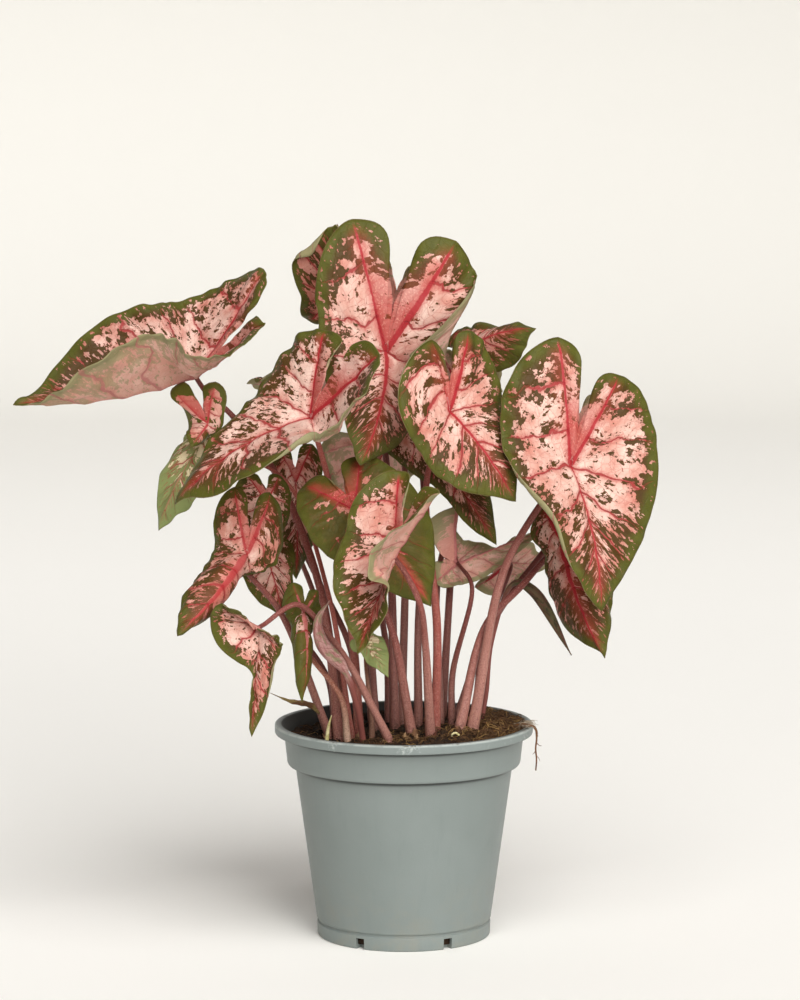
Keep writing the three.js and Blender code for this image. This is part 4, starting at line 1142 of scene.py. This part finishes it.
olive = blade.mix(olive, paint("4e3012"), deep * (1.3 - green * 0.8).least(0.85))
olive = blade.mix(olive, paint("93a065"), (pale - 0.7).most(0) * 2)
halo = (main / (0.13 - 0.07 * from_hub) + ragged - 0.5).rise(1, 0.1).most(band) * rim.rise(1, 7)
olive = blade.mix(olive, paint("ab4136"), halo * (red * 0.75).least(0.85))
olive = blade.mix(paint("98503f"), olive, mottled.rise(0.35, 1.0))
top_colour = blade.mix(tissue, olive, mottled.rise(0.0, 0.6))
top_colour = blade.mix(top_colour, paint("9c3231"), side_line * (0.9 - 0.6 * mottled) * rim.rise(0.5, 6))
main_red = main_line * (1 - 0.45 * mottled) * (0.45 + red).least(1)
top_colour = blade.mix(top_colour, paint("a82a30"), main_red * rim.rise(0.5, 5))
top_colour = blade.mix(top_colour, paint("7d6a44"), rim.rise(0.55, 0.15) * 0.5)

# The underside shows the same pattern, dulled, under a grey-green bloom that is thickest at the margin.
bloom = (near * 0.55 + mottled * 0.55).least(0.85)
under_colour = blade.mix(blade.mix(tissue, paint("dca596"), 0.5), paint("83895a"), bloom)
under_colour = blade.mix(under_colour, paint("b25f62"), main_line.most(side_line * 0.8) * 0.8)
under_colour = blade.mix(under_colour, paint("b9b296"), 0.03 + tint * 0.08)
colour = blade.mix(under_colour, top_colour, upper)
rough = 0.44 + 0.16 * (1 - upper) + blade.noise(grain, 3, 2) * 0.12 - main_line * 0.05
blade_height = (1 - net) * 0.2 + (1 - fine_net) * 0.1 - side_line * 0.5 + blade.noise(grain, 22, 2) * 0.1
blade_finish = blade.finish(colour, rough, blade_height, 0.0006)

hub_normals = {}
for order, (name, leaf) in enumerate(LEAVES.items()):
    points, faces, kept, hub_normals[name] = blade_skin(leaf, np.random.default_rng(BLADE_SEED + order))
    piece = new_piece(name + "_leaf", points * MM, faces, blade_finish, kept)
    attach(piece, "root")
    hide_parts(name + "_blade")


# ---- stalks -------------------------------------------------------------------------------------
# Fleshy round stalks that grow from the tubers, rise through the soil and bend over under their
# blades. They are mauve and finely speckled, redder towards the top, with a shallow groove. Shade is
# painted on the stalks that stand further back, and their pale speckles are painted fainter there.

STALK_SIDES = 16
STALK_STEPS = 64
BURIED_STEPS = 8
STALK_FOOT_RADIUS = 2.7
STALK_TAPER = 0.5
STALK_LEAN = 0.45  # share of the whole lean that the straight stretch in the soil has
STALK_STRAIGHT = 3
STALK_BEND = 0.3
STALK_UNDER_BLADE = (1.1, 0.25)  # depth at which the stalk meets the blade, and at which it ends in it
FOOT_SWELL = (0.12, 9)  # share of the radius, and the height in millimetres over which it fades
HUB_FLARE = 1.15
GROOVE = (0.09, 0.5)  # depth as a share of the radius, and half its width in radians
STALK_SEED = 300
TUBER_TOP = 66


def smooth_path(points, count):
    """Evenly spaced points on a centripetal curve through the points given."""
    knots = np.array(points, float)
    knots = np.vstack([2 * knots[0] - knots[1], knots, 2 * knots[-1] - knots[-2]])
    line = [knots[1]]
    for p0, p1, p2, p3 in zip(knots, knots[1:], knots[2:], knots[3:]):
        d0, d1, d2 = (math.sqrt(np.linalg.norm(b - a)) for a, b in ((p0, p1), (p1, p2), (p2, p3)))
        start = ((p1 - p0) / d0 - (p2 - p0) / (d0 + d1)) * d1 + p2 - p1
        end = ((p3 - p2) / d2 - (p3 - p1) / (d1 + d2)) * d1 + p2 - p1
        for t in np.linspace(0, 1, 25)[1:]:
            line.append((2 * t ** 3 - 3 * t ** 2 + 1) * p1 + (t ** 3 - 2 * t ** 2 + t) * start
                        + (3 * t ** 2 - 2 * t ** 3) * p2 + (t ** 3 - t ** 2) * end)
    line = np.array(line)
    return evenly_spaced(line, travelled(line), count)


def rising_start(foot, target):
    """The points where a stalk leaves its tuber and where it clears the soil, and its direction."""
    foot = np.array([*foot, float(soil_height(*foot))])
    rise = np.array(target, float) - foot
    direction = np.array([rise[0] * STALK_LEAN / rise[2], rise[1] * STALK_LEAN / rise[2], 1])
    return foot + direction * (TUBER_TOP - foot[2]), foot + direction * STALK_STRAIGHT, unit(direction)


def stalk_line(leaf, hub_normal):
    """The middle line of a stalk, from its tuber into the underside of its blade."""
    first = leaf.get("via", (leaf["hub"],))[0]
    bottom, top, direction = rising_start(leaf["foot"], first)
    under, end = (np.array(leaf["hub"]) - hub_normal * depth for depth in STALK_UNDER_BLADE)
    if "via" in leaf:
        bends = [np.array(point, float) for point in leaf["via"]]
        last_bend = bends[-1]
    else:
        bends = [top + direction * STALK_BEND * np.linalg.norm(end - top)]
        last_bend = top
    reach = np.linalg.norm(under - last_bend)
    arrival = unit(unit(under - last_bend) + hub_normal)
    line = smooth_path([top, *bends, under - arrival * STALK_BEND * reach, under], STALK_STEPS)
    return np.vstack([np.linspace(bottom, top, BURIED_STEPS + 1)[:-1], line, end])


stalk = Finish("speckled_stalk", specular=0.3)
height_cm, share, seed = stalk.parts(stalk.held("rise"))
warmth, greenness, painted_lighting = stalk.parts(stalk.held("habit"))
skin_place = stalk.held("grain")
fine = stalk.noise(skin_place, 14, 4, 0.7)
long_streaks = stalk.noise(stalk.stretched(skin_place, (7, 7, 0.7)), 1, 4, 0.6)
dots = stalk.cells(skin_place, 9).rise(0.32, 0.12)
ripeness = share * 0.9 + long_streaks * 0.9 + warmth * 0.6 - 0.62
colour = stalk.mix(paint("a87468"), paint("85443c"), ripeness.rise(0.1, 0.8))
colour = stalk.mix(colour, paint("622a28"), (share + warmth - 0.5).rise(0.5, 1.2) * 0.8)
colour = stalk.mix(colour, paint("b4584c"), seed.rise(6.5, 7.5) * 0.6)
colour = stalk.mix(colour, paint("b58370"), (long_streaks - share * 0.2).rise(0.5, 0.66) * 0.6)
colour = stalk.mix(colour, paint("7e8a4f"), greenness * (0.75 + 0.25 * fine))
# Painted light and shade: a stalk with more than full light gets a pale foot, one with less is darkened, and
# its pale speckles grow fainter with less light.
colour = stalk.mix(colour, paint("d9bfa6"), height_cm.rise(3.2, 0.2) * (painted_lighting - 1).most(0))
colour = stalk.mix(colour, paint("4a1f1c"), (1 - painted_lighting) * 0.55)
colour = stalk.mix(colour, paint("5b3638"), dots * 0.4 + fine.rise(0.52, 0.64) * 0.5)
colour = stalk.mix(colour, paint("cba093"), fine.rise(0.47, 0.36) * painted_lighting * 0.4)
colour = stalk.mix(colour, paint("3f2a1d"), height_cm.rise(0.7, -0.2) * fine.rise(0.35, 0.6) * 0.8)
stalk_height = fine * 0.5 + long_streaks * 0.5
stalk_finish = stalk.finish(colour, 0.42 + fine * 0.2, stalk_height, 0.0004)

for order, (name, leaf) in enumerate(LEAVES.items()):
    draw = np.random.default_rng(STALK_SEED + order)
    line = stalk_line(leaf, hub_normals[name])
    shares = np.concatenate([np.zeros(BURIED_STEPS), np.linspace(0, 1, STALK_STEPS), [1]])
    foot_radius = leaf.get("radius", STALK_FOOT_RADIUS)
    radii = foot_radius * (1 - STALK_TAPER * shares)
    above_top = line[:, 2] - line[BURIED_STEPS, 2]
    radii = radii * (1 + FOOT_SWELL[0] * np.exp(-(above_top / FOOT_SWELL[1]) ** 2))
    radii[-1] *= HUB_FLARE
    angles = np.arange(STALK_SIDES) * 2 * math.pi / STALK_SIDES
    groove = draw.uniform(0, 2 * math.pi)
    off_groove = (angles - groove + math.pi) % (2 * math.pi) - math.pi
    section = 1 - GROOVE[0] * np.exp(-(off_groove / GROOVE[1]) ** 2) \
        + 0.025 * np.cos(3 * angles + draw.uniform(0, 6))
    uneven = 1 + 0.02 * np.sin(line[:, 2] / 9 + draw.uniform(0, 6))
    points, faces = closed_tube(line, (radii * uneven)[:, None] * section, STALK_SIDES)
    above = np.repeat(above_top + STALK_STRAIGHT, STALK_SIDES) / 10
    above = np.append(above, [above[0], above[-1]])
    along = np.append(np.repeat(shares, STALK_SIDES), [0, 1])
    round_about = np.tile(angles, len(line))
    girth = np.column_stack([np.cos(round_about), np.sin(round_about)]) * foot_radius / 10
    lengthwise = np.repeat(travelled(line) / 10, STALK_SIDES) + draw.uniform(0, 50)
    ends = [[0, 0, lengthwise[0]], [0, 0, lengthwise[-1]]]
    kept = {"rise": np.column_stack([above, along, np.full(len(above), draw.uniform(0, 9))]),
            "grain": np.vstack([np.column_stack([girth, lengthwise]), ends])}
    # How much light is painted on the stalk: full at the front and less towards the back, where it stands in
    # shade.
    painted_light_share = 0.4 + 0.6 * smooth_step((8 - leaf["foot"][1]) / 26)
    habit = leaf.get("stalk", (draw.uniform(0.2, 0.9), 0, painted_light_share))
    kept["habit"] = np.tile(habit, (len(above), 1))
    stem = new_piece(name + "_stem", np.array(points) * MM, faces, stalk_finish, kept)
    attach(stem, "root")
    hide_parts(name + "_stalk")


# ---- rolled leaves ------------------------------------------------------------------------------
# Two young leaves that have not opened: each blade is still rolled round itself, edge over edge,
# on a thin stalk from its tuber, and ends in a long point. The left one is dull pink and the right
# one dark olive.

ROLLED = {
    "furled_pink": dict(
        node="rolled_left", slot="rolled_pink", foot=(-22, -27),
        stalk_radius=1.7, roll_radius=4, roll_start=0.42,
        path=((-25, -34, 131), (-32, -44, 153), (-43, -52, 168), (-45, -56, 181), (-39, -56, 191)),
        colours=("c99a94", "9c5b58", "8a8a63"),
    ),
    "furled_dark": dict(
        node="rolled_right", slot="rolled_dark", foot=(43, 12),
        stalk_radius=1.3, roll_radius=3.2, roll_start=0.55,
        path=((45, 13, 130), (48, 14, 159), (60, 16, 190), (70, 14, 186), (91, 5, 152)),
        colours=("66633f", "7d4a45", "3f3b26"),
    ),
}
ROLL_SIDES = 28
ROLL_STEPS = 72
ROLL_TWIST = 0.35  # turns of the blade's edge round the roll, over the whole length
ROLL_EDGE = (0.26, 0.16)  # step at the edge and how far in the roll starts, in shares of the radius
ROLL_TIP = 0.35
for name, leaf in ROLLED.items():
    start = leaf["roll_start"]
    roll = Finish(name + "_skin", specular=0.3)
    turn, share, _ = roll.parts(roll.held("rise"))
    place = roll.held("grain")
    stripes = roll.noise(roll.stretched(place, (6, 6, 0.8)), 1, 4, 0.65)
    fine = roll.noise(place, 14, 4, 0.7)
    base, vein, mottle = map(paint, leaf["colours"])
    colour = roll.mix(base, vein, stripes.rise(0.42, 0.66))
    blotches = roll.noise(roll.stretched(place, (3, 3, 1.2)), 1, 5, 0.7).rise(0.5, 0.58)
    colour = roll.mix(colour, mottle, blotches * 0.8)
    slant = (turn + share * 26).fold(0.5).rise(0.09, 0.02)
    colour = roll.mix(colour, vein, slant * share.rise(start, start + 0.1) * 0.6)
    colour = roll.mix(paint("8c5048"), colour, share.rise(start - 0.08, start + 0.06))
    colour = roll.mix(colour, paint("5b3638"), fine.rise(0.56, 0.72) * 0.35)
    bottom, top, _ = rising_start(leaf["foot"], leaf["path"][0])
    line = smooth_path([top, *leaf["path"]], ROLL_STEPS)
    line = np.vstack([np.linspace(bottom, top, BURIED_STEPS + 1)[:-1], line])
    shares = np.concatenate([np.zeros(BURIED_STEPS), np.linspace(0, 1, ROLL_STEPS)])
    opened = np.clip((shares - start) / (1 - start), 0, 1)
    swell = leaf["roll_radius"] * np.sin(math.pi * opened ** 0.7)
    radii = np.maximum(np.maximum(swell, leaf["stalk_radius"] * (1 - opened)), ROLL_TIP)
    angles = np.arange(ROLL_SIDES) * 2 * math.pi / ROLL_SIDES
    wound = (angles / (2 * math.pi) + ROLL_TWIST * shares[:, None]) % 1
    section = 1 + smooth_step(opened * 6)[:, None] * (ROLL_EDGE[0] * wound - ROLL_EDGE[1])
    points, faces = closed_tube(line, radii[:, None] * section, ROLL_SIDES)
    along = np.append(np.repeat(shares, ROLL_SIDES), [0, 1])
    about = np.append(np.tile(angles, len(line)), [0, 0])
    travel = travelled(line) / 10
    lengthwise = np.append(np.repeat(travel, ROLL_SIDES), [0, travel[-1]])
    kept = {"rise": np.column_stack([about, along, along * 0]),
            "grain": np.column_stack([np.cos(about) * 0.35, np.sin(about) * 0.35, lengthwise])}
    finish = roll.finish(colour, 0.45 + fine * 0.2, stripes * 0.6 + fine * 0.3 - slant * 0.3, 0.0005)
    piece = new_piece(name, np.array(points) * MM, faces, finish, kept)
    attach(piece, "root")
    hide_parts(leaf["node"])


# ---- sprouts, old sheaths and roots -------------------------------------------------------------
# Small growth at the foot of the stalks: a curled cream sprout, a pale spike, a dried narrow leaf, the
# papery remains of old leaf sheaths, and fine roots that hang over the brim at the right.

SHEATH_WALL = 0.25
SHEATH_ACROSS = 13
SHEATH_UP = 8
papery = Finish("papery_sheath")
tone, _, _ = papery.parts(papery.held("tint"))
place = papery.node("NewGeometry", output="Position")
ribbing = papery.noise(papery.stretched(place, (2600, 2600, 160)), 1, 3, 0.6)
blotches = papery.noise(place, 420, 4, 0.65)
colour = papery.mix(paint("5a2a22"), paint("c8a277"), tone)
colour = papery.mix(colour, paint("8a5a3a"), ribbing.rise(0.45, 0.62) * 0.7)
colour = papery.mix(colour, paint("3a2318"), blotches.rise(0.55, 0.7) * 0.6)
papery_finish = papery.finish(colour, 0.5 + ribbing * 0.3, ribbing + blotches * 0.5, 0.0003)
sheath_points, sheath_faces, sheath_tints = [], [], []


def add_sheath(x, y, radius, towards, span, height, flare, tone):
    """A torn collar round a stalk's foot: part of a tube that is highest in the middle and leans out.

    towards is where its middle faces and span how far it goes round, in degrees.
    """
    base = float(soil_height(x, y)) - 1.5
    first = len(sheath_points)
    for wall in (0, SHEATH_WALL):
        for row in range(SHEATH_UP):
            up = row / (SHEATH_UP - 1)
            for column in range(SHEATH_ACROSS):
                side = 2 * column / (SHEATH_ACROSS - 1) - 1
                angle = math.radians(towards + side * span * (1 - 0.55 * up ** 2) / 2)
                top = height * (1 - 0.5 * abs(side) ** 1.5) + 0.5 * math.sin(7 * side + x)
                out = radius + wall + flare * up ** 2 + 0.25 * math.sin(5 * side + 4 * up)
                sheath_points.append((x + out * math.cos(angle), y + out * math.sin(angle), base + up * top))
                sheath_tints.append((tone, 0, 0))
    count = SHEATH_UP * SHEATH_ACROSS
    for row in range(SHEATH_UP - 1):
        for column in range(SHEATH_ACROSS - 1):
            a = first + row * SHEATH_ACROSS + column
            b, c, d = a + 1, a + SHEATH_ACROSS + 1, a + SHEATH_ACROSS
            sheath_faces.extend([(a, d, c, b), (a + count, b + count, c + count, d + count)])
    border = [*range(SHEATH_ACROSS - 1), *range(SHEATH_ACROSS - 1, count - 1, SHEATH_ACROSS),
              *range(count - 1, count - SHEATH_ACROSS, -1), *range(count - SHEATH_ACROSS, 0, -SHEATH_ACROSS)]
    for a, b in zip(border, border[1:] + border[:1]):
        sheath_faces.append((first + a, first + b, first + b + count, first + a + count))


for sheath in (
        (14, -27, 3.0, -20, 170, 7.8, 0.8, 0.05), (7, -27.5, 1.2, -90, 200, 4.2, 1.2, 0.95),
        (-8, -30, 2.7, -130, 150, 3.6, 1.6, 0.7), (-11.5, -32.5, 1.0, -80, 180, 3, 1.5, 0.6),
        (1, -29.5, 1.2, -100, 200, 4.8, 1.3, 0.9), (4, -23, 3.0, -60, 140, 5.4, 1.0, 0.35),
        (37, -17, 3.3, -80, 130, 3.6, 0.8, 0.3), (30, -18, 3.0, -110, 160, 4.8, 0.9, 0.2),
        (-24, -8, 3.0, -95, 150, 4.8, 1.0, 0.45), (-30, -24, 2.1, -80, 170, 3.6, 1.1, 0.7),
        (-17, -18, 1.8, -70, 180, 5.4, 0.9, 0.15), (20, 6, 2.4, 100, 160, 5.4, 1.0, 0.4),
        (-8, 26, 2.5, 80, 170, 6, 1.0, 0.3), (39, 22, 2.9, 60, 150, 4.8, 1.1, 0.6),
        (-40, -8, 2.7, 190, 150, 4.8, 1.0, 0.5), (8, 8, 2.7, 20, 150, 5.4, 0.8, 0.25)):
    add_sheath(*sheath)
sheaths = new_piece("old_sheaths", np.array(sheath_points) * MM, sheath_faces, papery_finish,
                    {"tint": sheath_tints})
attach(sheaths, "root")

tender = Finish("tender_sprout", roughness=0.45)
place = tender.node("NewGeometry", output="Position")
colour = tender.mix(paint("e6dcaa"), paint("c2b878"), tender.noise(place, 260, 3).rise(0.42, 0.6))
colour = tender.mix(colour, paint("8d6a3e"), tender.noise(place, 900, 3).rise(0.58, 0.7) * 0.5)
tender_finish = tender.finish(colour, None, tender.noise(place, 1200, 3), 0.0002)
COIL_STEPS = 26
COIL_MIDDLE = (27.3, 114.6)
STUB_FOOT = (28.6, -36, 108)
STUB_STEPS = 5
SPROUT_SIDES = 12
turns = np.radians(np.linspace(-95, 215, COIL_STEPS))
coil = np.linspace(2.3, 1.7, COIL_STEPS)
ring = np.column_stack([COIL_MIDDLE[0] + coil * np.cos(turns), np.linspace(-36.5, -34.2, COIL_STEPS),
                        COIL_MIDDLE[1] + coil * np.sin(turns)])
stub = np.linspace(STUB_FOOT, ring[0], STUB_STEPS + 1)[:-1]
thinning = np.linspace(0.9, 0.5, COIL_STEPS - 2)
sprout_radii = np.concatenate([np.full(STUB_STEPS, 0.75), thinning, [0.35, 0.15]])
points, faces = closed_tube(np.vstack([stub, ring]), sprout_radii, SPROUT_SIDES)
sprout = new_piece("curled_sprout", np.array(points) * MM, faces, tender_finish)
SPIKE_STEPS = 24
line = smooth_path([(-41.6, -22.6, 104), (-41.3, -22.6, 111), (-40.4, -22.5, 118), (-38.8, -22.6, 124)],
                   SPIKE_STEPS)
points, faces = closed_tube(line, 1.15 * np.sin(np.linspace(1.2, 3.05, SPIKE_STEPS)) ** 0.8, SPROUT_SIDES)
spike = new_piece("pale_spike", np.array(points) * MM, faces, tender_finish)
for piece in (sprout, spike):
    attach(piece, "root")

DRIED_STEPS = 60
DRIED_SIDES = 14
withered = Finish("dried_leaf", roughness=0.7, specular=0.3)
place = withered.node("NewGeometry", output="Position")
wrinkles = withered.noise(withered.stretched(place, (500, 1400, 1400)), 1, 4, 0.65)
colour = withered.mix(paint("6a4a32"), paint("8f7a4c"), withered.noise(place, 90, 3).rise(0.4, 0.62))
colour = withered.mix(colour, paint("3b2a1a"), wrinkles.rise(0.52, 0.68) * 0.8)
line = smooth_path([(-37.3, -5.3, 104), (-37.3, -5.3, 110), (-41, -7.3, 117.5), (-46.3, -13.3, 124),
                    (-50.5, -17.3, 128.6), (-61.1, -23.3, 131.8), (-71.4, -27.3, 136.8)], DRIED_STEPS)
shares = np.linspace(0, 1, DRIED_STEPS)
leafy = smooth_step((shares - 0.42) / 0.15) * smooth_step((1.02 - shares) / 0.4)
angles = np.arange(DRIED_SIDES) * 2 * math.pi / DRIED_SIDES
flat = 0.7 - 0.2 * leafy[:, None] + (1.3 * leafy[:, None]) * np.abs(np.cos(angles)) ** 2
tapered = flat * (1 - 0.75 * smooth_step((shares - 0.7) / 0.3))[:, None]
points, faces = closed_tube(line, tapered * (1 + 0.12 * np.sin(shares * 60)[:, None]), DRIED_SIDES)
dried = new_piece("dried_leaf", np.array(points) * MM, faces, withered.finish(colour, None, wrinkles, 0.0004))
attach(dried, "root")

FRAYED_ROOTS = 70
FRAY_LIMIT = 74
ROOT_SIDES = 6
rootlets = Finish("fine_root", roughness=0.7, specular=0.3)
tone, _, _ = rootlets.parts(rootlets.held("tint"))
place = rootlets.node("NewGeometry", output="Position")
colour = rootlets.mix(paint("6b4426"), paint("b9ad98"), tone)
colour = rootlets.mix(colour, paint("3f2817"), rootlets.noise(place, 800, 3).rise(0.5, 0.66) * 0.7)
root_points, root_faces, root_tints = [], [], []


def add_root(path, thick, thin, tone):
    """A root through the points of a path, with its radius at each end."""
    line = smooth_path(path, 6 * len(path))
    points, faces = closed_tube(line, np.linspace(thick, thin, len(line)), ROOT_SIDES, len(root_points))
    root_points.extend(points)
    root_faces.extend(faces)
    root_tints.extend([(tone, 0, 0)] * len(points))


add_root([(55, -10, 113.5), (62, -13, 117.2), (67.5, -16, 117.3), (70.6, -17.6, 116), (71.4, -18.2, 111),
          (70.9, -18.4, 105), (71.4, -17.6, 99), (71, -18, 93)], 0.65, 0.4, 0.0)
add_root([(71.4, -18.2, 108), (73, -17.4, 106.5), (74.2, -17.8, 106.4)], 0.3, 0.12, 0.1)
add_root([(71, -18.4, 104), (69.8, -19.9, 102.6), (69.2, -20.6, 102.4)], 0.3, 0.12, 0.1)
add_root([(71.2, -18, 101), (72.6, -17.4, 99.6), (73.2, -18, 98)], 0.18, 0.1, 0.1)
add_root([(66, -14, 117), (69.8, -15.4, 117.2), (71.6, -16, 115), (72.2, -16.4, 111)], 0.25, 0.12, 0.3)
add_root([(64, -18, 116.6), (68.6, -20, 117.2), (70.4, -21, 115.5), (70.8, -21.6, 113)], 0.22, 0.1, 0.2)
for _ in range(FRAYED_ROOTS):
    start = np.array([rng.uniform(61.5, 66.5), rng.uniform(-19, -4), 116.4 + rng.uniform(0, 0.8)])
    heading = rng.uniform(-1.2, 1.2)
    reach = rng.uniform(1.5, 3.2)
    path = [start]
    for step in range(3):
        heading += rng.normal(0, 0.6)
        rise = (0.7, 0.1, -0.9)[step] * rng.uniform(0.4, 1.2)
        path.append(path[-1] + (reach * math.cos(heading), reach * math.sin(heading), rise))
    if math.hypot(path[-1][0], path[-1][1]) < FRAY_LIMIT:
        add_root(path, 0.12, 0.07, rng.uniform(0.5, 1))
roots = new_piece("hanging_roots", np.array(root_points) * MM, root_faces, rootlets.finish(colour),
                  {"tint": root_tints})
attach(roots, "root")


# ---- sizes --------------------------------------------------------------------------------------
# The box round all that is shown but the backdrop, in metres.

low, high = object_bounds()
